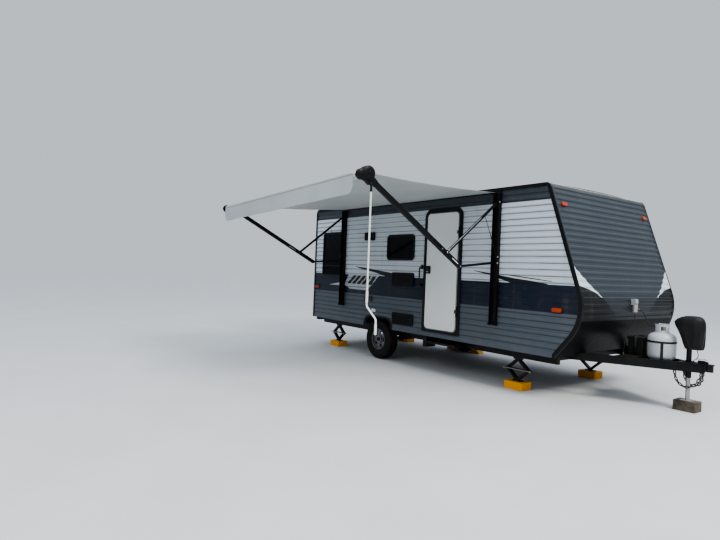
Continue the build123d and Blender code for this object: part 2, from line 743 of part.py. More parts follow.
# Door frame with its fixed knuckles, and the door with its own
hinge_x = door_x + door_wide / 2 + 14.0
hinge_y = -(half_width + flange_t + 8.0)
hatch_hinge_z = hatch_z + hatch_high / 2 + 14.0
hatch_hinge_y = half_width + flange_t + 8.0
knuckle_rows = [
    # height above the ground, on the door or on the frame
    (900.0, "frame"), (950.0, "door"), (1000.0, "frame"),
    (2050.0, "frame"), (2100.0, "door"), (2150.0, "frame"),
]
knuckle_long = 50.0
clear_wide = door_wide + 2 * door_gap
clear_high = door_high + 2 * door_gap
with BuildPart() as door_frames:
    with BuildSketch(side_plane(-1)):
        with Locations(side_spot(-1, door_x, door_z)):
            RectangleRounded(clear_wide + 2 * door_flange, clear_high + 2 * door_flange * 0.7, door_r + 40.0)
            RectangleRounded(clear_wide, clear_high, door_r + door_gap, mode=Mode.SUBTRACT)
    extrude(amount=flange_t)
    with BuildSketch(side_plane(-1)):
        with Locations(side_spot(-1, door_x, door_z)):
            RectangleRounded(door_wide + 34.0, door_high + 34.0, door_r + 17.0)
            RectangleRounded(clear_wide, clear_high, door_r + door_gap, mode=Mode.SUBTRACT)
    extrude(amount=-wall_t)
    for height, holder in knuckle_rows:
        if holder == "frame":
            with BuildSketch(Plane.XY.offset(up(height) - knuckle_long / 2)):
                with Locations((hinge_x, hinge_y)):
                    Circle(knuckle_r)
                with Locations((hinge_x, hinge_y + 5.0)):
                    Rectangle(2 * knuckle_r - 2, 10.0)
            extrude(amount=knuckle_long)
    with BuildSketch(side_plane(1)):
        with Locations(side_spot(1, hatch_x, hatch_z)):
            RectangleRounded(hatch_wide + 60.0, hatch_high + 60.0, hatch_r + 20.0)
            RectangleRounded(hatch_wide + 10.0, hatch_high + 10.0, hatch_r + 5.0, mode=Mode.SUBTRACT)
    extrude(amount=flange_t)
    with BuildSketch(side_plane(1)):
        with Locations(side_spot(1, hatch_x, hatch_z)):
            RectangleRounded(hatch_wide + 34.0, hatch_high + 34.0, hatch_r + 17.0)
            RectangleRounded(hatch_wide + 10.0, hatch_high + 10.0, hatch_r + 5.0, mode=Mode.SUBTRACT)
    extrude(amount=-wall_t)
    for x in (-200.0, -100.0, 100.0, 200.0):
        with BuildSketch(Plane.YZ.offset(hatch_x + x - knuckle_long / 2)):
            with Locations((hatch_hinge_y, hatch_hinge_z)):
                Circle(knuckle_r)
            with Locations((hatch_hinge_y - 5.0, hatch_hinge_z)):
                Rectangle(10.0, 2 * knuckle_r - 2)
        extrude(amount=knuckle_long)
export(door_frames.part, "door_frames")

door_face_y = -(half_width + flange_t + 1.0)
with BuildPart() as entry_door:
    with BuildSketch(side_plane(-1, flange_t + 1.0)):
        with Locations(side_spot(-1, door_x, door_z)):
            RectangleRounded(door_wide, door_high, door_r)
    extrude(amount=-door_t)
    for height, holder in knuckle_rows:
        if holder == "door":
            with BuildSketch(Plane.XY.offset(up(height) - knuckle_long / 2 + seat_gap)):
                with Locations((hinge_x, hinge_y)):
                    Circle(knuckle_r)
                with Locations((hinge_x - 24.0, door_face_y - 2.0)):
                    Rectangle(48.0, 4.0)
            extrude(amount=knuckle_long - 2 * seat_gap)
    with BuildSketch(side_plane(-1, flange_t + 1.0)):
        with Locations(side_spot(-1, door_x - door_wide / 2 + 60.0, up(1542.0))):
            RectangleRounded(96.0, 116.0, 14.0)
    extrude(amount=16.0)
    with BuildSketch(side_plane(-1, flange_t + 17.0)):
        with Locations(side_spot(-1, door_x - door_wide / 2 + 60.0, up(1552.0))):
            RectangleRounded(64.0, 40.0, 10.0)
    extrude(amount=12.0)
export(entry_door.part, "entry_door")

# Grab handle beside the door
with BuildPart() as grab_handle:
    handle_x = fore(1055.0)
    with BuildLine() as handle_path:
        FilletPolyline((handle_x, -half_width, up(1300.0)), (handle_x, -half_width - 55.0, up(1310.0)),
                       (handle_x, -half_width - 55.0, up(1570.0)), (handle_x, -half_width, up(1580.0)),
                       radius=25.0)
    with BuildSketch(Plane(origin=handle_path.line @ 0, z_dir=handle_path.line % 0)):
        Circle(11.0)
    sweep()
    with Locations((handle_x, -half_width - 4.0, up(1303.0)), (handle_x, -half_width - 4.0, up(1577.0))):
        Box(50.0, 8.0, 50.0)
    with Locations((handle_x, -half_width + 40.0, up(1440.0))):
        Box(200.0, 80.0, 400.0, mode=Mode.SUBTRACT)
export(grab_handle.part, "grab_handle")

# Baggage door hung from its top edge

with BuildPart() as baggage_door:
    with BuildSketch(side_plane(1, flange_t + 1.0)):
        with Locations(side_spot(1, hatch_x, hatch_z)):
            RectangleRounded(hatch_wide, hatch_high, hatch_r)
    extrude(amount=-door_t)
    for x in (-150.0, 150.0):
        with BuildSketch(Plane.YZ.offset(hatch_x + x - knuckle_long / 2 + seat_gap)):
            with Locations((hatch_hinge_y, hatch_hinge_z)):
                Circle(knuckle_r)
            with Locations((-door_face_y + 2.0, hatch_hinge_z - 24.0)):
                Rectangle(4.0, 48.0)
        extrude(amount=knuckle_long - 2 * seat_gap)
    with BuildSketch(side_plane(1, flange_t + 1.0)):
        for x in (-200.0, 200.0):
            with Locations(side_spot(1, hatch_x + x, hatch_z - 120.0)):
                Circle(16.0)
    extrude(amount=10.0)
export(baggage_door.part, "baggage_door")

# Window frames and panes
with BuildPart() as window_frames:
    for side, x, height, wide, high, r in windows:
        for grow, deep in [(window_lip, flange_t), (0.0, -wall_t)]:
            with BuildSketch(side_plane(side)):
                with Locations(side_spot(side, fore(x), up(height))):
                    RectangleRounded(wide + 2 * grow, high + 2 * grow, r + grow)
                    RectangleRounded(wide - 2 * window_sleeve, high - 2 * window_sleeve,
                                     r - window_sleeve, mode=Mode.SUBTRACT)
            extrude(amount=deep)
export(window_frames.part, "window_frames")

with BuildPart() as window_glass:
    for side, x, height, wide, high, r in windows:
        with BuildSketch(side_plane(side, -4.0)):
            with Locations(side_spot(side, fore(x), up(height))):
                RectangleRounded(wide - 2 * window_sleeve, high - 2 * window_sleeve, r - window_sleeve)
        extrude(amount=-glass_t)
export(window_glass.part, "window_glass")

# Places on the rear wall and on the sloping front wall
rear_plane = Plane(origin=(rear_x, 0, 0), x_dir=(0, -1, 0), z_dir=(-1, 0, 0))
front_light_x, front_light_z, front_slope = front_spot(front_rib_start + 3 * rib_pitch)
rake = radians(90.0 + front_slope)
front_plane = Plane(origin=(front_light_x, 0, front_light_z), x_dir=(0, 1, 0), z_dir=(cos(rake), 0, sin(rake)))

# Louvres cut into the vents' faces
louvre_pitch = 24.0
louvre_high = 12.0
louvre_deep = 10.0
louvre_edge = 22.0

# Flat boxes on the walls: plane, place on it, width, height, thickness, corner radius
wall_boxes = {
    "wall_vents": [
        (side_plane(-1), side_spot(-1, fore(617.0), up(1370.0)), 525.0, 220.0, 18.0, 20.0),
        (side_plane(-1), side_spot(-1, fore(642.0), up(735.0)), 500.0, 190.0, 18.0, 20.0),
        (side_plane(-1), side_spot(-1, fore(-292.0), up(2090.0)), 275.0, 140.0, 22.0, 12.0),
    ],
    "wall_fittings": [
        (side_plane(-1), side_spot(-1, fore(-280.0), up(1012.0)), 220.0, 85.0, 12.0, 8.0),
        (side_plane(-1), side_spot(-1, fore(-118.0), up(815.0)), 105.0, 50.0, 10.0, 6.0),
        (side_plane(1), side_spot(1, fore(800.0), up(850.0)), 400.0, 400.0, 14.0, 15.0),
        (side_plane(1), side_spot(1, fore(-1700.0), up(850.0)), 130.0, 130.0, 25.0, 30.0),
        (rear_plane, (600.0, up(800.0)), 305.0, 153.0, 4.0, 10.0),
    ],
    "amber_lights": [
        (side_plane(-1), side_spot(-1, fore(3430.0), up(1111.0)), 130.0, 52.0, 20.0, 18.0),
        (side_plane(1), side_spot(1, fore(3430.0), up(1111.0)), 130.0, 52.0, 20.0, 18.0),
        (front_plane, (-1000.0, 0.0), 110.0, 44.0, 20.0, 18.0),
        (front_plane, (1000.0, 0.0), 110.0, 44.0, 20.0, 18.0),
    ],
    "red_lights": [
        (side_plane(-1), side_spot(-1, fore(-1955.0), up(1138.0)), 150.0, 56.0, 20.0, 18.0),
        (side_plane(1), side_spot(1, fore(-1955.0), up(1138.0)), 150.0, 56.0, 20.0, 18.0),
        (rear_plane, (-900.0, up(880.0)), 120.0, 220.0, 22.0, 20.0),
        (rear_plane, (900.0, up(880.0)), 120.0, 220.0, 22.0, 20.0),
    ] + [(rear_plane, (y, up(2480.0)), 100.0, 40.0, 20.0, 15.0) for y in (-980.0, -160.0, 0.0, 160.0, 980.0)],
}
for label, rows in wall_boxes.items():
    with BuildPart() as wall_box:
        for face, spot, wide, high, thick, r in rows:
            with BuildSketch(face):
                with Locations(spot):
                    RectangleRounded(wide, high, r)
            extrude(amount=thick)
            if label == "wall_vents":
                slots = int((high - 2 * louvre_edge) / louvre_pitch)
                with BuildSketch(face.offset(thick)):
                    with Locations(spot):
                        with GridLocations(0, louvre_pitch, 1, slots):
                            Rectangle(wide - 2 * louvre_edge, louvre_high)
                extrude(amount=-louvre_deep, mode=Mode.SUBTRACT)
    export(wall_box.part, label)

# Black trims round the front edges, wheel arches and rear corners, the gutters and the awning rail
trim_wide = 45.0
trim_t = 4.0
awning_rail_deep = 16.0
awning_rail_drop = 60.0
gutter_front_x = roof_front_x - roof_front_r
with BuildPart() as body_trims:
    for side in (-1, 1):
        with BuildSketch(Plane.XZ.offset(-side * half_width)):
            add(side_face())
            add(side_face(trim_wide), mode=Mode.SUBTRACT)
            with Locations((gutter_front_x + 500.0, 0)):
                Rectangle(1000.0, 6000.0, mode=Mode.INTERSECT)
            with Locations((gutter_front_x, bottom_z)):
                Rectangle(2 * (foot_x - gutter_front_x - 20.0), 200.0, mode=Mode.SUBTRACT)
        extrude(amount=-side * trim_t)
        with BuildSketch(side_plane(side)):
            with Locations(side_spot(side, axle_x, bottom_z)):
                RectangleRounded(arch_long + 60.0, arch_high + 60.0, arch_high / 2 + 10.0)
                RectangleRounded(arch_long, arch_high, arch_high / 2 - 20.0, mode=Mode.SUBTRACT)
            with Locations(side_spot(side, axle_x, bottom_z - 500.0)):
                Rectangle(2000.0, 1000.0, mode=Mode.SUBTRACT)
        extrude(amount=8.0)
        with BuildSketch(Plane.XY.offset(bottom_z)):
            with Locations((rear_x + trim_wide / 2, side * (half_width + trim_t / 2))):
                Rectangle(trim_wide, trim_t)
            with Locations((rear_x - trim_t / 2, side * (half_width + trim_t - (trim_wide + trim_t) / 2))):
                Rectangle(trim_t, trim_wide + trim_t)
        extrude(amount=top_z - roof_rear_r - bottom_z)
        with BuildSketch(Plane.YZ.offset(rear_x + roof_rear_r + 1.0)):
            with Locations((side * (half_width + 10.0), top_z - 22.0)):
                Rectangle(20.0, 44.0)
            with Locations((side * (half_width + 12.0), top_z - 12.0)):
                Rectangle(16.0, 24.0, mode=Mode.SUBTRACT)
        extrude(amount=gutter_front_x - rear_x - roof_rear_r - 2.0)
    with BuildSketch(Plane.YZ.offset(awning_rear_x - 60.0)):
        with Locations((-half_width - awning_rail_deep / 2, top_z - awning_rail_drop)):
            Rectangle(awning_rail_deep, 26.0)
    extrude(amount=awning_front_x - awning_rear_x + 120.0)
export(body_trims.part, "body_trims")

# Roof unit and roof vents: fore, side, length, width, height, taper
roof_rows = [
    (-350.0, 0.0, 760.0, 680.0, 310.0, 22.0),
    (1750.0, 0.0, 410.0, 410.0, 90.0, 12.0),
    (-1450.0, 0.0, 410.0, 410.0, 90.0, 12.0),
    (700.0, -640.0, 500.0, 190.0, 110.0, 8.0),
]
unit_edge = 16.0
with BuildPart() as roof_units:
    for x, y, long, wide, high, taper in roof_rows:
        reach = abs(y) + wide / 2
        low = top_z + roof_crown * (1 - reach ** 2 / crown_half ** 2)
        top = high + roof_crown
        draw_in = 2 * (top - unit_edge) * tan(radians(taper))
        for rise, less in [(0.0, 0.0), (top - unit_edge, draw_in), (top, draw_in + 2 * unit_edge)]:
            with BuildSketch(Plane.XY.offset(low + rise)):
                with Locations((fore(x), y)):
                    RectangleRounded(long - less, wide - less, 0.15 * (wide - less))
        loft(ruled=True)
    with BuildSketch(Plane.YZ.offset(rear_x)):
        with BuildLine():
            ThreePointArc((-crown_half, top_z), (0, top_z + roof_crown), (crown_half, top_z))
            Polyline((crown_half, top_z), (crown_half, top_z - 40), (-crown_half, top_z - 40), (-crown_half, top_z))
        make_face()
    extrude(amount=roof_front_x - rear_x, mode=Mode.SUBTRACT)
export(roof_units.part, "roof_units")

# Regulator on the front wall above the tongue, shaped to the curve behind it
wall_front_x = side_face().bounding_box().max.X
regulator_z = up(1228.0)
regulator_high = 76.0
low_body_x = wall_front_x + 34.0
low_body_high = 90.0
with BuildPart() as gas_regulator:
    with Locations((wall_front_x + 10.0, 0, regulator_z)):
        Box(80.0, 70.0, regulator_high)
    with BuildSketch(Plane.XY.offset(regulator_z - regulator_high / 2 - low_body_high)):
        with Locations((low_body_x, 0)):
            Circle(30.0)
    extrude(amount=low_body_high + 2.0)
    with BuildSketch(Plane.XZ):
        add(side_face())
    extrude(amount=100.0, both=True, mode=Mode.SUBTRACT)
export(gas_regulator.part, "gas_regulator")

# Free cords. Each route is a list of points (fore, side, height), rounded by arcs as large as its runs allow.
cord_routes = {
    # node: (radius, routes)
    "gas_hose": (6.0, [[
        (3813.6, 0.0, 1140.0), (3850.0, 2.0, 1136.0), (3880.0, 6.0, 1110.0), (3900.0, 8.0, 1070.0),
        (3918.0, 8.0, 1025.0), (3944.0, 4.0, 984.0), (3986.0, 0.0, 955.0), (4040.0, -2.0, 941.0),
        (4103.2, 0.0, 938.0),
    ]]),
    "gas_line": (5.0, [[
        (3785.0, 0.0, 1099.5), (3784.0, -4.0, 1050.0), (3778.0, -18.0, 990.0), (3770.0, -48.0, 925.0),
        (3763.0, -92.0, 860.0), (3758.0, -138.0, 795.0), (3754.0, -172.0, 725.0), (3752.0, -190.0, 650.0),
        (3752.0, -194.0, 571.5),
    ]]),
    "jack_cable": (4.0, [[
        (4512.0, 0.0, 728.0), (4516.0, 1.0, 704.0), (4526.0, 3.0, 676.0), (4528.0, 4.0, 646.0),
        (4512.0, 3.0, 620.0), (4490.0, 1.0, 606.0), (4478.0, 0.0, 584.0),
    ]]),
    "safety_chains": (8.0, [
        [(4330.0, side * 125.0, 465.0), (4333.0, side * 122.0, 425.0), (4342.0, side * 117.0, 380.0),
         (4362.0, side * 109.0, 335.0), (4396.0, side * 98.0, 300.0), (4440.0, side * 90.0, 285.0),
         (4486.0, side * 86.0, 292.0), (4524.0, side * 74.0, 318.0), (4552.0, side * 56.0, 358.0),
         (4570.0, side * 36.0, 406.0), (4578.0, side * 17.0, 463.0)] for side in (-1, 1)]),
}


def cord_path_radii(points):
    """Radius of the arc at each corner of a route: 0.45 of the shorter run over tan of half the turn."""
    radii = []
    for before, here, after in zip(points, points[1:], points[2:]):
        run_in, run_out = Vector(*here) - Vector(*before), Vector(*after) - Vector(*here)
        turn = radians(run_in.get_angle(run_out))
        radii.append(0.45 * min(run_in.length, run_out.length) / tan(turn / 2))
    return radii


for label, (cord_r, routes) in cord_routes.items():
    with BuildPart() as cord:
        for route in routes:
            points = [(fore(x), y, up(height)) for x, y, height in route]
            radii = cord_path_radii(points)
            with BuildLine() as path:
                FilletPolyline(*points, radius=radii)
            with BuildSketch(Plane(origin=points[0], z_dir=path.line % 0)):
                Circle(cord_r)
            sweep()
    export(cord.part, label)

# Awning linkage. Each set has lanes across its width, counted from its middle to its outer side.
lane_link = (-38.0, -24.0)
lane_arm = (-arm_wide / 2, arm_wide / 2)
lane_rafter = (24.0, 38.0)
lane_strut = (42.0, 56.0)
lane_flange_in = (-46.0, -42.0)
lane_flange_out = (60.0, 64.0)
pivot_y = -(half_width + pivot_out)
elbow_y = -(half_width + elbow_out)
awning_sets = [
    # middle x, direction of its outer side, tilt of its arm, roller's end from the arm's head in y and z
    (awning_front_x, 1, front_arm_tilt, (-104.2, -4.9)),
    (awning_rear_x, -1, rear_arm_tilt, (-45.7, -31.5)),
]


def add_bar(x_low, x_high, start, end, deep, mode=Mode.ADD):
    """Add to the open part, or cut from it, a round-ended bar between points (y, z) over this range of x."""
    y0, z0 = start
    y1, z1 = end
    long = hypot(y1 - y0, z1 - z0)
    turn = degrees(atan2(z1 - z0, y1 - y0))
    with BuildSketch(Plane.YZ.offset(min(x_low, x_high))) as bar:
        with Locations(Location(((y0 + y1) / 2, (z0 + z1) / 2), turn)):
            SlotOverall(long + deep, deep)
    extrude(to_extrude=bar.sketch, amount=abs(x_high - x_low), mode=mode)


def add_pin(middle, outward, span, spot, r=pin_r):
    """Add to the open part a pin along X through (y, z), across this span of a set's lanes."""
    x0, x1 = lane(middle, outward, span)
    with BuildSketch(Plane.YZ.offset(min(x0, x1))) as pin:
        with Locations(spot):
            Circle(r)
    extrude(to_extrude=pin.sketch, amount=abs(x1 - x0))


def lane(middle, outward, span):
    """The two x values of a lane of one set."""
    return middle + outward * span[0], middle + outward * span[1]


def arm_points(tilt, neck):
    """Tail pin, head and roller's end of one arm as (y, z). The neck is the step from head to roller."""
    c, s = cos(radians(tilt)), sin(radians(tilt))
    tail = (elbow_y + arm_tail * c, elbow_z - arm_tail * s)
    head = (elbow_y - arm_long * c, elbow_z + arm_long * s)
    return tail, head, (head[0] + neck[0], head[1] + neck[1])


roller_spots = [arm_points(tilt, neck)[2] for middle, outward, tilt, neck in awning_sets]


rafter_reach = hypot(elbow_y - pivot_y, elbow_z - top_pivot_z)
strut_share = 335.0 / rafter_reach
strut_low = (pivot_y, up(1741.0))
strut_high = (pivot_y + strut_share * (elbow_y - pivot_y), top_pivot_z + strut_share * (elbow_z - top_pivot_z))
strut_long = hypot(strut_high[0] - strut_low[0], strut_high[1] - strut_low[1])
strut_dir = (0, (strut_high[0] - strut_low[0]) / strut_long, (strut_high[1] - strut_low[1]) / strut_long)
strut_tube_long = 330.0
strut_tube_r = 6.0
strut_rod_r = 4.0

with BuildPart() as awning_channels:
    channel_low_z = up(850.0)
    channel_high_z = up(2580.0)
    pins = [((38.0, 61.0), top_pivot_z), ((-43.0, -38.0), mid_pivot_z), ((56.0, 61.0), strut_low[1])]
    for middle, outward, tilt, neck in awning_sets:
        for span, deep in [((-46.0, 64.0), 4.0), (lane_flange_in, 50.0), (lane_flange_out, 50.0)]:
            x0, x1 = lane(middle, outward, span)
            with Locations(((x0 + x1) / 2, -half_width - deep / 2, (channel_low_z + channel_high_z) / 2)):
                Box(abs(x1 - x0), deep, channel_high_z - channel_low_z)
        for span, z in pins:
            add_pin(middle, outward, span, (pivot_y, z))
export(awning_channels.part, "awning_channels")

with BuildPart() as awning_rafters:
    for middle, outward, tilt, neck in awning_sets:
        x0, x1 = lane(middle, outward, lane_rafter)
        add_bar(x0, x1, (pivot_y, top_pivot_z), (elbow_y, elbow_z), 36.0)
        add_pin(middle, outward, (21.0, 25.0), (elbow_y, elbow_z))
export(awning_rafters.part, "awning_rafters")

with BuildPart() as awning_links:
    for middle, outward, tilt, neck in awning_sets:
        tail, head, roller = arm_points(tilt, neck)
        x0, x1 = lane(middle, outward, lane_link)
        add_bar(x0, x1, (pivot_y, mid_pivot_z), tail, 30.0)
        add_pin(middle, outward, (-25.0, -21.0), tail)
export(awning_links.part, "awning_links")

with BuildPart() as awning_arms:
    for middle, outward, tilt, neck in awning_sets:
        tail, head, roller = arm_points(tilt, neck)
        x0, x1 = lane(middle, outward, lane_arm)
        add_bar(x0, x1, tail, head, arm_deep)
        add_bar(x0, x1, head, roller, head_deep)
        slot_start, slot_end = [
            (elbow_y + share * (head[0] - elbow_y), elbow_z + share * (head[1] - elbow_z)) for share in slot_shares]
        add_bar(x0, x1, slot_start, slot_end, slot_deep, Mode.SUBTRACT)
export(awning_arms.part, "awning_arms")

# Gas struts between the channels and the rafters
with BuildPart() as strut_tubes:
    for middle, outward, tilt, neck in awning_sets:
        x = middle + outward * 49.0
        with BuildSketch(Plane(origin=(x, *strut_low), x_dir=(1, 0, 0), z_dir=strut_dir)):
            Circle(strut_tube_r)
        extrude(amount=strut_tube_long)
        with BuildSketch(Plane(origin=(x, strut_low[0] + 30 * strut_dir[1], strut_low[1] + 30 * strut_dir[2]),
                               x_dir=(1, 0, 0), z_dir=strut_dir)):
            Circle(strut_rod_r + run_gap)
        extrude(amount=strut_tube_long, mode=Mode.SUBTRACT)
        add_pin(middle, outward, (42.0, 56.0), strut_low, 9.0)
export(strut_tubes.part, "strut_tubes")

with BuildPart() as strut_rods:
    rod_start = 290.0
    for middle, outward, tilt, neck in awning_sets:
        x = middle + outward * 49.0
        start = (x, strut_low[0] + rod_start * strut_dir[1], strut_low[1] + rod_start * strut_dir[2])
        with BuildSketch(Plane(origin=start, x_dir=(1, 0, 0), z_dir=strut_dir)):
            Circle(strut_rod_r)
        extrude(amount=strut_long - rod_start)
        add_pin(middle, outward, (38.0, 54.0), strut_high, 8.0)
export(strut_rods.part, "strut_rods")

# Roller tube between the arms' heads
roller_front = (awning_front_x + lane_arm[0], *roller_spots[0])
roller_rear = (awning_rear_x - lane_arm[0], *roller_spots[1])
roller_dir = Vector(*roller_front) - Vector(*roller_rear)
with BuildPart() as awning_roller:
    with BuildSketch(Plane(origin=Vector(*roller_rear) + roller_dir * 0.001, z_dir=roller_dir)):
        Circle(roller_r)
    extrude(amount=roller_dir.length * 0.998)
    with BuildSketch(Plane(origin=Vector(*roller_rear) + roller_dir * 0.0002, z_dir=roller_dir)):
        Circle(8.0)
    extrude(amount=roller_dir.length * 0.9996)
export(awning_roller.part, "awning_roller")

# Fabric from the wall rail to the top of the roller: a thin sheet with a little sag
fabric_t = 3.0
fabric_gap = 12.0
fabric_lift = 0.8
fabric_sag = 35.0
wall_edge = (-half_width - awning_rail_deep - seat_gap, top_z - awning_rail_drop)
with BuildPart() as awning_fabric:
    for x, (y, z) in [(roller_front[0] - fabric_gap, roller_front[1:]), (roller_rear[0] + fabric_gap, roller_rear[1:])]:
        y1, z1 = y, z + roller_r + fabric_lift
        y0, z0 = wall_edge
        ym, zm = (y0 + y1) / 2, (z0 + z1) / 2 - fabric_sag
        with BuildSketch(Plane.YZ.offset(x)):
            with BuildLine():
                ThreePointArc((y0, z0), (ym, zm), (y1, z1))
                Line((y1, z1), (y1, z1 + fabric_t))
                ThreePointArc((y1, z1 + fabric_t), (ym, zm + fabric_t), (y0, z0 + fabric_t))
                Line((y0, z0 + fabric_t), (y0, z0))
            make_face()
    loft(ruled=True)
export(awning_fabric.part, "awning_fabric")

# Valance hanging from the outer side of the roller
valance_high = 210.0
valance_y = roller_front[1] - roller_r - seat_gap
with BuildPart() as awning_valance:
    with BuildSketch(Plane.XZ.offset(-valance_y)) as valance_outline:
        with BuildLine():
            Polyline((roller_front[0] - fabric_gap, roller_front[2]),
                     (roller_rear[0] + fabric_gap, roller_rear[2]),
                     (roller_rear[0] + fabric_gap, roller_rear[2] - valance_high),
                     (roller_front[0] - fabric_gap, roller_front[2] - valance_high), close=True)
        make_face()
        fillet(valance_outline.vertices().sort_by(Axis.Y)[:2], 90.0)
    extrude(amount=fabric_t)
export(awning_valance.part, "awning_valance")

# Gearbox on the front head, with the eye that carries the crank handle
eye_y = roller_spots[0][0] + 112.0
eye_z = roller_spots[0][1] - 100.0
gear_x = awning_front_x + lane_arm[1]
gear_t = 44.0
with BuildPart() as awning_gearbox:
    with BuildSketch(Plane.YZ.offset(gear_x)):
        with Locations(roller_spots[0]):
            Circle(60.0)
    extrude(amount=gear_t)
    add_bar(gear_x, gear_x + gear_t, roller_spots[0], (eye_y, eye_z + 20.0), 50.0)
    with BuildSketch(Plane.YZ.offset(gear_x + gear_t)):
        with Locations((eye_y, eye_z)):
            Circle(14.0)
        with Locations((eye_y, eye_z + 15.0)):
            Rectangle(28.0, 30.0)
        with Locations((eye_y, eye_z)):
            Circle(5.3, mode=Mode.SUBTRACT)
    extrude(amount=6.0)
    with BuildSketch(Plane.YZ.offset(awning_rear_x + lane_arm[0])):
        with Locations(roller_spots[1]):
            Circle(48.0)
    extrude(amount=-18.0)
export(awning_gearbox.part, "awning_gearbox")

# Crank handle hanging from the eye
crank_x = gear_x + gear_t + 20.0
crank_r = 10.0
with BuildPart() as crank_handle:
    with BuildLine() as crank_path:
        FilletPolyline((crank_x, eye_y, eye_z + 8.0), (crank_x, eye_y, up(1110.0)),
                       (crank_x + 170.0, eye_y, up(980.0)), (crank_x + 170.0, eye_y, up(820.0)), radius=45.0)
    with BuildSketch(Plane(origin=crank_path.line @ 0, z_dir=crank_path.line % 0)):
        Circle(crank_r)
    sweep()
    for x, low, high in [(crank_x, 1150.0, 1270.0), (crank_x + 170.0, 820.0, 930.0)]:
        with BuildSketch(Plane.XY.offset(up(low))):
            with Locations((x, eye_y)):
                Circle(14.0)
        extrude(amount=high - low)
    with BuildSketch(Plane.YZ.offset(gear_x + gear_t + 1.0)):
        with Locations((eye_y, eye_z)):
            Circle(5.0)
    extrude(amount=18.0)
export(crank_handle.part, "crank_handle")
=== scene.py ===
"""Looks of a travel caravan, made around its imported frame.

Lengths are metres in the frame's axes: X forward, Y to the road side, Z up, origin at the coupler's ball socket.
Rows of sizes in millimetres give the distance ahead of the axle, the offset to the road side and the height
above the ground, and spot() turns such a row into a point.
"""
import logging
from dataclasses import dataclass
from enum import Enum
from math import cos, hypot, pi, radians, sin, sqrt
from random import Random
from typing import ClassVar, Sequence

import bmesh
import bpy
from mathutils import Matrix, Vector


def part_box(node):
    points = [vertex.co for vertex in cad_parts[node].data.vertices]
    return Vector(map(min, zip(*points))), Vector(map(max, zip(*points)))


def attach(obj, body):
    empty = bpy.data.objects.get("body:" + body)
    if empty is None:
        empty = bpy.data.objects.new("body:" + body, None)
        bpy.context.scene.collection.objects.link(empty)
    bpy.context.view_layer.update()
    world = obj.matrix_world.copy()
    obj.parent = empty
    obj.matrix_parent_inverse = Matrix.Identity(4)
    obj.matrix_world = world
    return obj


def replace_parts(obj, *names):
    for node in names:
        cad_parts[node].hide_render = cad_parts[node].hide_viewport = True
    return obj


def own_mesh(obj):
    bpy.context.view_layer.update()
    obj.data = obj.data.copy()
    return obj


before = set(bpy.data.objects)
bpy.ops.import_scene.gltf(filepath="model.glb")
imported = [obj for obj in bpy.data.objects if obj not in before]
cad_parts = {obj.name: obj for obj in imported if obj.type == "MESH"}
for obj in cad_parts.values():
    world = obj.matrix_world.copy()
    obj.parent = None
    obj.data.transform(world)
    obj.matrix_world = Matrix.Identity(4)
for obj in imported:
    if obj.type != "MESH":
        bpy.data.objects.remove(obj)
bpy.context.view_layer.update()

log = logging.getLogger("caravan")

Pair = tuple[float, float]
Row = tuple[float, float, float]
Colour = Row
Profile = tuple[Pair, ...]
Socket = bpy.types.NodeSocket
Sockets = dict[str, Socket]

AXLE_BACK = 4.65
COUPLER_HEIGHT = 0.5
GROUND_Z = -COUPLER_HEIGHT
HALF_WIDTH = 1.16
REAR_X = -6.737
TRAILER = "trailer"
AHEAD, LEFT, UP = Vector((1, 0, 0)), Vector((0, 1, 0)), Vector((0, 0, 1))
SIDES = (-1, 1)


def fore(distance: float) -> float:
    """X of a distance in millimetres ahead of the axle."""
    return distance / 1000 - AXLE_BACK


def up(height: float) -> float:
    """Z of a height in millimetres above the ground."""
    return height / 1000 - COUPLER_HEIGHT


def spot(row: Row) -> Vector:
    """Point of a row of millimetres: distance ahead of the axle, offset to the road side, height."""
    return Vector((fore(row[0]), row[1] / 1000, up(row[2])))


def shade(red: int, green: int, blue: int) -> Colour:
    """Linear colour of a display colour given in steps of 0 to 255."""
    return tuple((c / 255 / 12.92) if c < 11 else (((c / 255) + 0.055) / 1.055) ** 2.4 for c in (red, green, blue))


def lerp(low: float, high: float, share: float) -> float:
    """Value between two values."""
    return low + (high - low) * share


def circle(count: int) -> list[Pair]:
    """Cosine and sine at equal steps round a circle."""
    return [(cos(2 * pi * k / count), sin(2 * pi * k / count)) for k in range(count)]


def rounded(wide: float, high: float, radius: float, steps: int = 6) -> list[Pair]:
    """Outline of a rounded rectangle about the origin.

    Args:
        wide: its width.
        high: its height.
        radius: its corners' radius.
        steps: steps in each corner.

    Returns:
        Its points.
    """
    points = []
    for turn, (i, j) in enumerate(((1, 1), (-1, 1), (-1, -1), (1, -1))):
        for k in range(steps + 1):
            angle = pi / 2 * (turn + k / steps)
            points.append((i * (wide / 2 - radius) + radius * cos(angle),
                           j * (high / 2 - radius) + radius * sin(angle)))
    return points


# Node trees

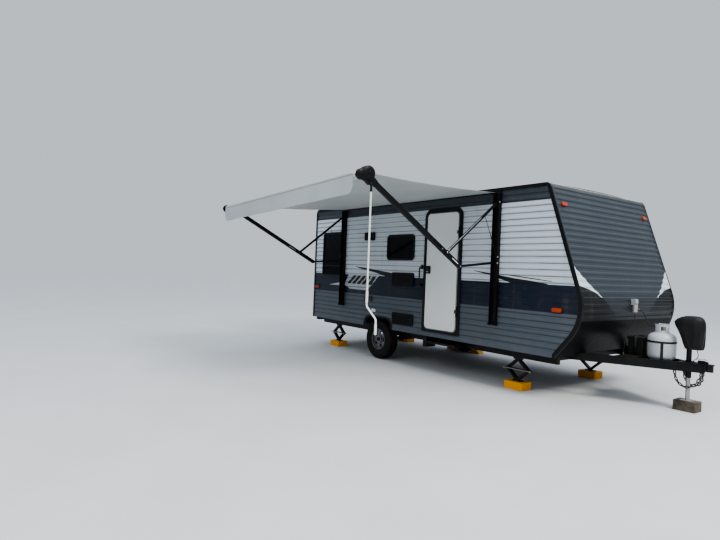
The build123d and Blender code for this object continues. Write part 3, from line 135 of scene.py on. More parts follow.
class Graph:
    """Short calls for laying out one node tree."""

    def __init__(self, tree: bpy.types.NodeTree) -> None:
        """Work on this tree."""
        self.tree = tree

    def feed(self, socket: Socket, value: object) -> None:
        """Link a socket or set its plain value.

        Args:
            socket: the input.
            value: the socket to link it to, or a number or colour.
        """
        if isinstance(value, Socket):
            self.tree.links.new(value, socket)
        elif isinstance(value, tuple) and socket.type == "RGBA":
            socket.default_value = (*value, 1.0)
        else:
            socket.default_value = value

    def add(self, kind: str, feeds: dict[int | str, object] | None = None, **settings: object) -> bpy.types.Node:
        """Add a node.

        Args:
            kind: Blender's name of the node type.
            feeds: what its inputs get, by name or place.
            settings: attributes to set on it.

        Returns:
            The node.
        """
        node = self.tree.nodes.new(kind)
        for key, value in settings.items():
            setattr(node, key, value)
        for key, value in (feeds or {}).items():
            self.feed(node.inputs[key], value)
        return node

    def math(self, operation: str, *values: object, clamp: bool = False) -> Socket:
        """Result of a Math node."""
        return self.add("ShaderNodeMath", dict(enumerate(values)), operation=operation, use_clamp=clamp).outputs[0]

    def times(self, one: object, two: object, clamp: bool = False) -> Socket:
        """Product of two values."""
        return self.math("MULTIPLY", one, two, clamp=clamp)

    def plus(self, one: object, two: object) -> Socket:
        """Sum of two values."""
        return self.math("ADD", one, two)

    def minus(self, one: object, two: object) -> Socket:
        """Difference of two values."""
        return self.math("SUBTRACT", one, two)

    def above(self, value: object, limit: object) -> Socket:
        """One where a value is above a limit, and zero elsewhere."""
        return self.math("GREATER_THAN", value, limit)

    def below(self, value: object, limit: object) -> Socket:
        """One where a value is below a limit, and zero elsewhere."""
        return self.math("LESS_THAN", value, limit)

    def mix(self, share: object, low: object, high: object) -> Socket:
        """Colour between two colours."""
        return self.add("ShaderNodeMix", {0: share, 6: low, 7: high}, data_type="RGBA").outputs[2]

    def span(self, value: object, low: object, high: object, start: float = 0.0, end: float = 1.0) -> Socket:
        """Value carried from low..high to start..end and held at both ends."""
        return self.add("ShaderNodeMapRange", dict(enumerate((value, low, high, start, end))), clamp=True).outputs[0]

    def noise(self, vector: object, scale: object, detail: float = 4.0) -> Socket:
        """Noise factor at a vector."""
        return self.add("ShaderNodeTexNoise", {"Vector": vector, "Scale": scale, "Detail": detail}).outputs["Fac"]

    def place(self) -> Socket:
        """Object coordinates, which are the frame's own."""
        return self.add("ShaderNodeTexCoord").outputs["Object"]

    def normal(self) -> tuple[Socket, ...]:
        """X, Y and Z of the surface's direction."""
        return self.parts(self.add("ShaderNodeNewGeometry").outputs["Normal"])

    def parts(self, vector: object) -> tuple[Socket, ...]:
        """X, Y and Z of a vector."""
        return tuple(self.add("ShaderNodeSeparateXYZ", {0: vector}).outputs)

    def stretch(self, vector: object, scale: Row) -> Socket:
        """Vector scaled along each axis."""
        return self.add("ShaderNodeVectorMath", {0: vector, 1: scale}, operation="MULTIPLY").outputs[0]

    def toned(self, colour: object, value: object) -> Socket:
        """Colour made lighter or darker by a factor."""
        return self.add("ShaderNodeHueSaturation", {"Color": colour, "Value": value}).outputs[0]

    def curve(self, value: object, points: Sequence[Pair]) -> Socket:
        """Straight runs through points, read at a value.

        Args:
            value: where to read.
            points: points in the unit square.

        Returns:
            The height of the runs there.
        """
        node = self.add("ShaderNodeFloatCurve", {"Value": value})
        line = node.mapping.curves[0]
        while len(line.points) < len(points):
            line.points.new(0.5, 0.5)
        for point, (x, y) in zip(line.points, points):
            point.location = (x, y)
            point.handle_type = "VECTOR"
        node.mapping.update()
        return node.outputs[0]

    def effect(self, effect: "Effect", **values: object) -> Sockets:
        """Place an effect's node group.

        Args:
            effect: the effect.
            values: its inputs by name, with underscores for spaces.

        Returns:
            Its outputs by name.
        """
        feeds = {key.replace("_", " ").title(): value for key, value in values.items()}
        node = self.add("ShaderNodeGroup", feeds, node_tree=effect.tree())
        return {socket.name: socket for socket in node.outputs}


class Effect:
    """A shader node group, drawn once and placed in each material that uses it."""

    title = "effect"
    takes: dict[str, object] = {}
    gives: tuple[str, ...] = ()

    def tree(self) -> bpy.types.NodeTree:
        """Make the group at its first use.

        Returns:
            The group's tree.
        """
        made = bpy.data.node_groups.get(self.title)
        if made:
            return made
        tree = bpy.data.node_groups.new(self.title, "ShaderNodeTree")
        kinds = {True: "NodeSocketColor", False: "NodeSocketFloat"}
        for name, value in self.takes.items():
            colour = isinstance(value, tuple)
            socket = tree.interface.new_socket(name=name, in_out="INPUT", socket_type=kinds[colour])
            socket.default_value = (*value, 1.0) if colour else value
        for name in self.gives:
            tree.interface.new_socket(name=name, in_out="OUTPUT", socket_type=kinds[name == "Color"])
        graph = Graph(tree)
        given = {socket.name: socket for socket in graph.add("NodeGroupInput").outputs if socket.name}
        graph.add("NodeGroupOutput", self.draw(graph, given))
        return tree

    def draw(self, graph: Graph, given: Sockets) -> Sockets:
        """Lay out the group.

        Args:
            graph: the group's graph.
            given: its inputs by name.

        Returns:
            Its results by output name.
        """
        raise NotImplementedError


class Weathering(Effect):
    """Uneven tone, dust on upward faces, and road dirt that thickens toward the ground."""

    title = "weathering"
    takes = {"Color": (0.5, 0.5, 0.5), "Dirt Color": (0.2, 0.18, 0.15), "Dirt": 0.2, "Variation": 0.1,
             "Roughness": 0.4, "Scale": 3.0}
    gives = ("Color", "Roughness", "Mask")

    def draw(self, graph: Graph, given: Sockets) -> Sockets:
        """Lay out the group.

        Args:
            graph: the group's graph.
            given: its inputs by name.

        Returns:
            Its results by output name.
        """
        place = graph.place()
        broad = graph.noise(place, given["Scale"], 5.0)
        fine = graph.noise(place, graph.times(given["Scale"], 9.0), 3.0)
        drift = graph.times(graph.minus(broad, 0.5), given["Variation"])
        toned = graph.toned(given["Color"], graph.plus(graph.times(drift, 2.0), 1.0))
        lying = graph.span(graph.normal()[2], 0.3, 1.0)
        low = graph.span(graph.parts(place)[2], 0.35, GROUND_Z, 0.0, 1.3)
        amount = graph.plus(graph.plus(graph.times(lying, 0.7), low), 0.25)
        patch = graph.span(graph.plus(graph.times(broad, 0.7), graph.times(fine, 0.3)), 0.38, 0.66)
        dust = graph.times(graph.times(patch, amount), given["Dirt"], clamp=True)
        rough = graph.plus(given["Roughness"], graph.times(dust, 0.45))
        rough = graph.math("ADD", rough, graph.times(graph.minus(fine, 0.5), 0.12), clamp=True)
        return {"Color": graph.mix(dust, toned, given["Dirt Color"]), "Roughness": rough, "Mask": dust}


class FineGrain(Effect):
    """Even grain of moulded plastic, cast metal, rubber or powder paint."""

    title = "fine_grain"
    takes = {"Scale": 400.0, "Pits": 0.3}
    gives = ("Height",)

    def draw(self, graph: Graph, given: Sockets) -> Sockets:
        """Lay out the group.

        Args:
            graph: the group's graph.
            given: its inputs by name.

        Returns:
            Its results by output name.
        """
        place = graph.place()
        cells = graph.add("ShaderNodeTexVoronoi", {"Vector": place, "Scale": given["Scale"]})
        speck = graph.noise(place, graph.times(given["Scale"], 0.6), 2.0)
        pits = graph.times(cells.outputs["Distance"], given["Pits"])
        return {"Height": graph.plus(pits, graph.times(speck, 0.6))}


class ClothWeave(Effect):
    """Crossed threads along X and along the slope, with slubs."""

    title = "cloth_weave"
    takes = {"Pitch": 0.003}
    gives = ("Height", "Mask")

    def draw(self, graph: Graph, given: Sockets) -> Sockets:
        """Lay out the group.

        Args:
            graph: the group's graph.
            given: its inputs by name.

        Returns:
            Its results by output name.
        """
        place = graph.place()
        x, y, z = graph.parts(place)
        turn = graph.math("DIVIDE", 2 * pi, given["Pitch"])
        warp = graph.math("SINE", graph.times(x, turn))
        weft = graph.math("SINE", graph.times(graph.plus(y, z), turn))
        slub = graph.noise(graph.stretch(place, (3.0, 40.0, 40.0)), 6.0, 2.0)
        height = graph.plus(graph.times(graph.times(warp, weft), 0.25), graph.times(slub, 0.5))
        return {"Height": height, "Mask": graph.span(slub, 0.35, 0.7)}


class RainStreaks(Effect):
    """Thin marks that run down a wall."""

    title = "rain_streaks"
    takes = {"Spread": 9.0, "Amount": 0.3}
    gives = ("Mask",)

    def draw(self, graph: Graph, given: Sockets) -> Sockets:
        """Lay out the group.

        Args:
            graph: the group's graph.
            given: its inputs by name.

        Returns:
            Its results by output name.
        """
        place = graph.place()
        drawn = graph.noise(graph.stretch(place, (1.0, 1.0, 0.07)), given["Spread"], 5.0)
        broken = graph.span(graph.noise(place, 2.2, 3.0), 0.4, 0.65)
        streak = graph.times(graph.span(drawn, 0.56, 0.72), broken)
        return {"Mask": graph.times(streak, given["Amount"], clamp=True)}


class RibUnderShade(Effect):
    """Painted shade on the faces of the ribs that look down, uneven in strength; the faces that look up keep their
    colour.
    """

    title = "rib_under_shade"
    takes = {"Color": (0.5, 0.5, 0.5), "Amount": 0.5}
    gives = ("Color",)

    def draw(self, graph: Graph, given: Sockets) -> Sockets:
        """Lay out the group.

        Args:
            graph: the group's graph.
            given: its inputs by name.

        Returns:
            Its results by output name.
        """
        rise = graph.normal()[2]
        uneven = graph.span(graph.noise(graph.place(), 3.0, 4.0), 0.25, 0.6, 0.7, 1.0)
        under = graph.times(graph.span(rise, 0.0, -0.42), graph.times(uneven, given["Amount"]))
        return {"Color": graph.toned(given["Color"], graph.minus(1.0, under))}


class Scuffs(Effect):
    """Short worn patches and fine scratches."""

    title = "scuffs"
    takes = {"Scale": 8.0, "Amount": 0.3}
    gives = ("Mask",)

    def draw(self, graph: Graph, given: Sockets) -> Sockets:
        """Lay out the group.

        Args:
            graph: the group's graph.
            given: its inputs by name.

        Returns:
            Its results by output name.
        """
        place = graph.place()
        patch = graph.span(graph.noise(place, given["Scale"], 6.0), 0.6, 0.7)
        line = graph.noise(graph.stretch(place, (0.6, 9.0, 9.0)), graph.times(given["Scale"], 5.0), 2.0)
        mark = graph.math("MAXIMUM", patch, graph.span(line, 0.68, 0.74))
        return {"Mask": graph.times(mark, given["Amount"], clamp=True)}


# Finishes

class Texture(Enum):
    """What a finish is made of, close up."""

    PAINT = "paint"
    GRAIN = "grain"
    WEAVE = "weave"
    BRUSHED = "brushed"
    WOOD = "wood"
    SMOOTH = "smooth"


DUST = shade(150, 140, 124)
MUD = shade(118, 104, 86)


@dataclass(frozen=True)
class Finish:
    """A finish: its colour, sheen, close-up texture and dirt."""

    name: str
    colour: Colour
    roughness: float = 0.4
    metallic: float = 0.0
    coat: float = 0.0
    texture: Texture = Texture.PAINT
    pitch: float = 0.003
    bump: float = 0.0004
    dirt: float = 0.15
    variation: float = 0.08
    wear: float = 0.1
    bare: Colour = (0.35, 0.35, 0.36)
    transmission: float = 0.0
    subsurface: float = 0.0
    gloss: float = 0.4

    def material(self) -> bpy.types.Material:
        """Make the finish's material at its first use.

        Returns:
            The material.
        """
        title = f"finish_{self.name}"
        made = bpy.data.materials.get(title)
        if made:
            return made
        material = bpy.data.materials.new(title)
        material.use_nodes = True
        material.node_tree.nodes.clear()
        graph = Graph(material.node_tree)
        worn = graph.effect(Scuffs(), scale=8.0, amount=self.wear)["Mask"]
        aged = graph.effect(Weathering(), color=graph.mix(worn, self.paint(graph), self.bare), dirt_color=DUST,
                            dirt=self.dirt, variation=self.variation, roughness=self.roughness, scale=3.0)
        bump = graph.add("ShaderNodeBump", {"Strength": 0.7, "Distance": self.bump, "Height": self.height(graph)})
        feeds = {"Base Color": aged["Color"], "Roughness": aged["Roughness"], "Normal": bump.outputs[0],
                 "Metallic": self.metallic, "Coat Weight": self.coat, "Coat Roughness": 0.08,
                 "Transmission Weight": self.transmission, "Specular IOR Level": self.gloss}
        if self.subsurface:
            feeds |= {"Subsurface Weight": self.subsurface, "Subsurface Radius": (0.02, 0.02, 0.015)}
        shader = graph.add("ShaderNodeBsdfPrincipled", feeds)
        graph.add("ShaderNodeOutputMaterial", {"Surface": shader.outputs[0]})
        return material

    def paint(self, graph: Graph) -> Socket:
        """Lay out the colour before wear and dirt.

        Args:
            graph: the material's graph.

        Returns:
            The colour.
        """
        if self.texture is Texture.WOOD:
            rings = graph.noise(graph.stretch(graph.place(), (14.0, 60.0, 60.0)), 1.6, 6.0)
            dark = tuple(c * 0.45 for c in self.colour)
            return graph.mix(graph.span(rings, 0.35, 0.65), dark, self.colour)
        drift = graph.noise(graph.place(), 1.3, 3.0)
        low, high = (tuple(c * share for c in self.colour) for share in (1 - self.variation, 1 + self.variation))
        return graph.mix(graph.span(drift, 0.35, 0.65), low, high)

    def height(self, graph: Graph) -> Socket:
        """Lay out the close-up texture.

        Args:
            graph: the material's graph.

        Returns:
            Its height.
        """
        place = graph.place()
        if self.texture is Texture.WEAVE:
            return graph.effect(ClothWeave(), pitch=self.pitch)["Height"]
        if self.texture is Texture.BRUSHED:
            return graph.noise(graph.stretch(place, (400.0, 30.0, 400.0)), 1.0, 2.0)
        if self.texture is Texture.WOOD:
            return graph.noise(graph.stretch(place, (20.0, 200.0, 200.0)), 1.5, 5.0)
        if self.texture is Texture.SMOOTH:
            return graph.noise(place, 12.0, 2.0)
        pits = 0.8 if self.texture is Texture.GRAIN else 0.15
        return graph.effect(FineGrain(), scale=1.0 / self.pitch, pits=pits)["Height"]


@dataclass(frozen=True)
class Stripe:
    """A painted shape: upper and lower edge as rows of (position, height) in metres."""

    upper: Profile
    lower: Profile
    colour: Colour

    def mask(self, graph: Graph, along: object, height: object) -> Socket:
        """Lay out the shape's mask.

        Args:
            graph: the material's graph.
            along: position socket, in the rows' units.
            height: height socket.

        Returns:
            One inside the shape and zero outside.
        """
        start = min(x for x, _ in self.upper + self.lower)
        end = max(x for x, _ in self.upper + self.lower)
        low = min(z for _, z in self.upper + self.lower) - 0.01
        high = max(z for _, z in self.upper + self.lower) + 0.01
        share = graph.span(along, start, end)
        level = graph.span(height, low, high)
        top, foot = (graph.curve(share, [((x - start) / (end - start), (z - low) / (high - low)) for x, z in rows])
                     for rows in (self.upper, self.lower))
        inside = graph.times(graph.below(level, top), graph.above(level, foot))
        return graph.times(inside, graph.times(graph.above(along, start), graph.below(along, end)))


# WHITE is a grey-white, darker than the paint's own white: painted shade for the walls in shadow.
WHITE = shade(198, 205, 211)
NAVY = (0.0022, 0.0090, 0.0240)
BAND_GREY = (0.080, 0.096, 0.114)
CHARCOAL = (0.038, 0.049, 0.060)
FRONT_CHARCOAL = (0.033, 0.042, 0.052)
LINE_DARK = (0.0055, 0.0065, 0.0085)
SILVER = shade(172, 176, 180)


@dataclass(frozen=True)
class SidingFinish(Finish):
    """Painted ribbed sheet of the side and rear walls: bands of colour, sweeping lines and slanted bars.

    Ahead of nose_from the faces that look forward, and ahead of edge_from what lies inside edge_y, are the front
    wall's charcoal.
    """

    bands: tuple[tuple[float, Colour], ...] = ((1.072, BAND_GREY), (1.41, NAVY), (2.455, WHITE), (9.0, CHARCOAL))
    stripes: tuple[Stripe, ...] = ()
    seams: tuple[float, ...] = (0.844, 1.77, 2.23)
    seam_half: float = 0.0022
    nose_from: float = 2.9
    edge_from: float = 3.2
    edge_y: float = 1.1525

    def paint(self, graph: Graph) -> Socket:
        """Lay out the colour before wear and dirt.

        Args:
            graph: the material's graph.

        Returns:
            The colour.
        """
        x, y, z = graph.parts(graph.place())
        height = graph.plus(z, COUPLER_HEIGHT)
        along = graph.plus(x, AXLE_BACK)
        colour: object = self.bands[0][1]
        for (limit, _), (_, tone) in zip(self.bands, self.bands[1:]):
            colour = graph.mix(graph.above(height, limit), colour, tone)
        for stripe in self.stripes:
            colour = graph.mix(stripe.mask(graph, along, height), colour, stripe.colour)
        streaks = graph.effect(RainStreaks(), spread=9.0, amount=0.22)["Mask"]
        # Rain streaks, then painted shade that darkens the ribs' downward faces.
        colour = graph.effect(RibUnderShade(), color=graph.mix(streaks, colour, MUD), amount=0.72)["Color"]
        end = graph.times(graph.above(graph.normal()[0], 0.15), graph.above(along, self.nose_from))
        deep = graph.below(graph.math("ABSOLUTE", y), self.edge_y)
        end = graph.math("MAXIMUM", end, graph.times(deep, graph.above(along, self.edge_from)))
        colour = graph.mix(end, colour, FINISHES["front_siding"].paint(graph))
        for seam in self.seams:
            gap = graph.math("ABSOLUTE", graph.minus(height, seam))
            colour = graph.mix(graph.times(graph.below(gap, self.seam_half), 0.55), colour, LINE_DARK)
        return colour


def slanted_bars() -> tuple[Stripe, ...]:
    """Pale leaning panel with dark bars cut in it, and the tail that runs back from it.

    Returns:
        The tail, the panel and the bars.
    """
    panel = Stripe(((-1.035, 1.232), (-0.897, 1.416), (-0.008, 1.416)),
                   ((-1.035, 1.222), (-0.858, 1.150), (-0.33, 1.142), (-0.008, 1.412)), SILVER)
    tail = Stripe(((-1.53, 1.198), (-1.124, 1.262), (-1.00, 1.266)), ((-1.53, 1.190), (-1.0, 1.200)), SILVER)
    bars = []
    for low, high in ((-0.93, -0.735), (-0.785, -0.60), (-0.64, -0.447), (-0.497, -0.31), (-0.30, -0.172)):
        bars.append(Stripe(((low, 1.262), (high, 1.398), (high + 0.085, 1.398)),
                           ((low, 1.244), (low + 0.085, 1.244), (high + 0.085, 1.394)), LINE_DARK))
    return (tail, panel, *bars)


SWEEPS = (
    Stripe(((-0.70, 1.560), (-0.355, 1.537), (-0.125, 1.512), (0.344, 1.466), (0.52, 1.42)),
           ((-0.70, 1.553), (-0.432, 1.507), (-0.122, 1.466), (0.172, 1.405), (0.52, 1.405)), LINE_DARK),
    Stripe(((2.096, 1.558), (2.408, 1.523), (2.516, 1.506), (2.746, 1.474), (3.02, 1.450), (3.28, 1.418)),
           ((2.096, 1.552), (2.41, 1.494), (2.518, 1.466), (2.74, 1.405), (3.28, 1.405)), LINE_DARK),
    Stripe(((2.579, 1.518), (2.824, 1.504), (3.019, 1.485), (3.34, 1.454)),
           ((2.579, 1.513), (2.825, 1.491), (3.019, 1.472), (3.34, 1.446)), LINE_DARK),
)


@dataclass(frozen=True)
class FrontFinish(Finish):
    """Ribbed sheet of the front wall: charcoal with a pale point and a black field at each lower corner, darkened
    toward its foot by painted shade where the nose turns down.
    """

    points: Stripe = Stripe(((0.705, 1.288), (0.896, 1.420), (1.12, 1.62), (1.17, 1.67)),
                            ((0.705, 1.276), (0.80, 1.325), (0.94, 1.375), (1.17, 1.424)), WHITE)
    fields: Stripe = Stripe(((0.370, 1.048), (0.420, 1.085), (0.705, 1.282), (0.94, 1.375), (1.17, 1.424)),
                            ((0.370, 0.99), (1.17, 0.99)), LINE_DARK)
    foot_line: float = 1.048

    def paint(self, graph: Graph) -> Socket:
        """Lay out the colour before wear and dirt.

        Args:
            graph: the material's graph.

        Returns:
            The colour.
        """
        _, y, z = graph.parts(graph.place())
        height = graph.plus(z, COUPLER_HEIGHT)
        out = graph.math("ABSOLUTE", y)
        # Painted shade: from 1.36 m down to 1.05 m the charcoal darkens to 0.45 of itself, where the nose turns down.
        lower = tuple(c * 0.45 for c in self.colour)
        colour = graph.mix(graph.span(height, 1.05, 1.36), lower, self.colour)
        for stripe in (self.fields, self.points):
            colour = graph.mix(stripe.mask(graph, out, height), colour, stripe.colour)
        colour = graph.mix(graph.below(height, self.foot_line), colour, LINE_DARK)
        streaks = graph.effect(RainStreaks(), spread=11.0, amount=0.10)["Mask"]
        # Rain streaks, then painted shade that darkens the ribs' downward faces.
        return graph.effect(RibUnderShade(), color=graph.mix(streaks, colour, MUD), amount=0.55)["Color"]


@dataclass(frozen=True)
class RoofFinish(Finish):
    """Pale roof membrane, with the wall's charcoal on the edges that turn down."""

    edge: Colour = CHARCOAL

    def paint(self, graph: Graph) -> Socket:
        """Colour before wear and dirt."""
        return graph.mix(graph.above(graph.normal()[2], 0.85), self.edge, super().paint(graph))


@dataclass(frozen=True)
class DoorFinish(Finish):
    """Pale door skin, with the lock's plate and the hinges that stand out from it in black."""

    face_y: float = -1.1738

    def paint(self, graph: Graph) -> Socket:
        """Colour before wear and dirt."""
        return graph.mix(graph.below(graph.parts(graph.place())[1], self.face_y), super().paint(graph), BLACK)


@dataclass(frozen=True)
class DeckFinish(Finish):
    """Timber floor seen from above, with a black membrane below and on its sides."""

    def paint(self, graph: Graph) -> Socket:
        """Colour before wear and dirt."""
        rise = graph.parts(graph.add("ShaderNodeTexCoord").outputs["Normal"])[2]
        return graph.mix(graph.above(rise, 0.5), BLACK, super().paint(graph))


@dataclass(frozen=True)
class FittingFinish(Finish):
    """Pale moulded fittings, one of which is black."""

    dark_from: float = -0.42
    dark_to: float = -0.15
    dark_low: float = 0.93

    def paint(self, graph: Graph) -> Socket:
        """Lay out the colour before wear and dirt.

        Args:
            graph: the material's graph.

        Returns:
            The colour.
        """
        x, y, z = graph.parts(graph.place())
        along = graph.plus(x, AXLE_BACK)
        held = graph.times(graph.above(along, self.dark_from), graph.below(along, self.dark_to))
        held = graph.times(held, graph.above(graph.plus(z, COUPLER_HEIGHT), self.dark_low))
        return graph.mix(graph.times(held, graph.below(y, 0.0)), super().paint(graph), BLACK)


BLACK = (0.0050, 0.0055, 0.0062)
FINISHES: dict[str, Finish] = {finish.name: finish for finish in (
    SidingFinish("siding", WHITE, 0.42, coat=0.03, bump=0.0003, dirt=0.12, gloss=0.3, variation=0.04, wear=0.02,
                 stripes=SWEEPS + slanted_bars()),
    FrontFinish("front_siding", FRONT_CHARCOAL, 0.40, coat=0.03, bump=0.0003, dirt=0.06, gloss=0.3,
                variation=0.06, wear=0.02),
    Finish("skirt_black", BLACK, 0.36, texture=Texture.SMOOTH, bump=0.003, dirt=0.03, wear=0.04,
           bare=(0.02, 0.02, 0.02), gloss=0.05),
    RoofFinish("roof_skin", (0.68, 0.68, 0.65), 0.62, texture=Texture.GRAIN, pitch=0.004, dirt=0.4, wear=0.04),
    DeckFinish("floor_deck", (0.38, 0.27, 0.16), 0.7, texture=Texture.WOOD, dirt=0.3),
    Finish("frame_black", BLACK, 0.42, bump=0.0005, dirt=0.05, wear=0.10, bare=(0.035, 0.027, 0.022), gloss=0.22),
    Finish("chain_grey", (0.045, 0.045, 0.045), 0.5, 0.7, texture=Texture.BRUSHED, dirt=0.12, variation=0.2, wear=0.2,
           bare=(0.06, 0.035, 0.02)),
    Finish("seam_tape", (0.30, 0.28, 0.21), 0.65, texture=Texture.WEAVE, pitch=0.002, dirt=0.1),
    Finish("zinc", (0.56, 0.57, 0.58), 0.38, 0.9, texture=Texture.BRUSHED, dirt=0.35, variation=0.16),
    Finish("chrome", (0.72, 0.73, 0.75), 0.16, 1.0, texture=Texture.BRUSHED, bump=0.0001, dirt=0.12),
    Finish("jack_foot_steel", (0.5, 0.5, 0.5), 0.42, 0.9, texture=Texture.BRUSHED, dirt=0.4, wear=0.25,
           bare=(0.16, 0.10, 0.06)),
    # Brown wood darkened further as painted shade on the block.
    Finish("timber", (0.044, 0.030, 0.019), 0.8, texture=Texture.WOOD, bump=0.0015, dirt=0.25),
    Finish("cover_cloth", (0.0065, 0.0068, 0.0078), 0.5, texture=Texture.WEAVE, pitch=0.0035,
           bump=0.0006, dirt=0.05, variation=0.2, wear=0.02, bare=(0.02, 0.02, 0.022), gloss=0.3),
    Finish("bottle_white", (0.49, 0.52, 0.55), 0.34, coat=0.2, bump=0.0004, dirt=0.22, wear=0.07,
           bare=(0.28, 0.22, 0.17)),
    Finish("strap_black", BLACK, 0.6, texture=Texture.WEAVE, pitch=0.002, dirt=0.08, wear=0.04,
           bare=(0.03, 0.03, 0.03)),
    Finish("box_plastic", BLACK, 0.55, texture=Texture.GRAIN, bump=0.0008, dirt=0.04, wear=0.05,
           bare=(0.02, 0.02, 0.02), gloss=0.25),
    Finish("tyre_rubber", (0.0060, 0.0060, 0.0062), 0.7, texture=Texture.GRAIN, bump=0.0006, dirt=0.035,
           variation=0.25, wear=0.02, bare=(0.012, 0.012, 0.012), gloss=0.2),
    # The rim's silver is darkened far below bright silver: painted shade on the wheel.
    Finish("rim_silver", (0.18, 0.19, 0.21), 0.38, 0.8, coat=0.05, bump=0.0002, dirt=0.2, wear=0.05,
           bare=(0.10, 0.10, 0.10)),
    Finish("block_orange", (0.84, 0.36, 0.006), 0.5, texture=Texture.GRAIN, bump=0.0008, dirt=0.12, wear=0.10,
           bare=(0.55, 0.24, 0.03), gloss=0.3),
    Finish("frame_dark", BLACK, 0.36, dirt=0.03, wear=0.04, bare=(0.03, 0.03, 0.033), gloss=0.25),
    DoorFinish("door_white", (0.70, 0.72, 0.70), 0.36, coat=0.15, texture=Texture.SMOOTH, bump=0.0012, dirt=0.16,
               variation=0.04, wear=0.02),
    Finish("hatch_grey", BAND_GREY, 0.4, coat=0.1, dirt=0.15),
    Finish("handle_black", BLACK, 0.4, texture=Texture.GRAIN, pitch=0.002, dirt=0.03, wear=0.04,
           bare=(0.03, 0.03, 0.03), gloss=0.25),
    Finish("glass_dark", (0.0035, 0.0042, 0.0050), 0.07, texture=Texture.SMOOTH, bump=0.0006, dirt=0.02, wear=0.0,
           gloss=0.3),
    Finish("vent_black", BLACK, 0.5, texture=Texture.GRAIN, pitch=0.002, dirt=0.04, wear=0.04,
           bare=(0.02, 0.02, 0.02), gloss=0.2),
    FittingFinish("fitting_white", (0.72, 0.72, 0.69), 0.45, texture=Texture.GRAIN, pitch=0.002, dirt=0.2, wear=0.03),
    Finish("amber", (0.36, 0.034, 0.003), 0.22, coat=0.2, texture=Texture.SMOOTH, bump=0.001, dirt=0.03, wear=0.0),
    Finish("red", (0.24, 0.005, 0.004), 0.22, coat=0.2, texture=Texture.SMOOTH, bump=0.001, dirt=0.03, wear=0.0),
    Finish("roof_plastic", (0.74, 0.74, 0.71), 0.5, texture=Texture.GRAIN, pitch=0.003, dirt=0.4, wear=0.05),
    Finish("regulator_grey", (0.42, 0.43, 0.44), 0.5, 0.4, texture=Texture.GRAIN, bump=0.001, dirt=0.25, wear=0.15),
    Finish("arm_black", (0.0048, 0.0051, 0.0058), 0.42, texture=Texture.GRAIN, pitch=0.0015, bump=0.0003, dirt=0.02,
           wear=0.05, bare=(0.03, 0.03, 0.033), gloss=0.22),
    Finish("roller_white", (0.72, 0.73, 0.73), 0.4, coat=0.2, texture=Texture.BRUSHED, bump=0.0003, dirt=0.1),
    # The awning cloth is grey, darker than its own near-white: painted shade for its shaded underside.
    Finish("awning_cloth", (0.44, 0.465, 0.465), 0.6, texture=Texture.WEAVE, pitch=0.004, bump=0.0005, dirt=0.12,
           variation=0.05, wear=0.0, subsurface=0.25),
    Finish("crank_white", (0.78, 0.78, 0.76), 0.34, coat=0.3, dirt=0.08, wear=0.05),
    Finish("hose_black", BLACK, 0.5, texture=Texture.GRAIN, pitch=0.001, dirt=0.05, wear=0.04, bare=(0.02, 0.02, 0.02)),
    Finish("cable_grey", (0.022, 0.022, 0.024), 0.5, texture=Texture.GRAIN, pitch=0.001, dirt=0.2),
    Finish("brass", (0.34, 0.25, 0.13), 0.4, 0.9, texture=Texture.BRUSHED, dirt=0.2),
    Finish("stage_floor", (0.60, 0.60, 0.59), 0.85, texture=Texture.GRAIN, pitch=0.01, dirt=0.0, wear=0.0,
           variation=0.02),
)}


# Mesh work

SHARP = radians(32)


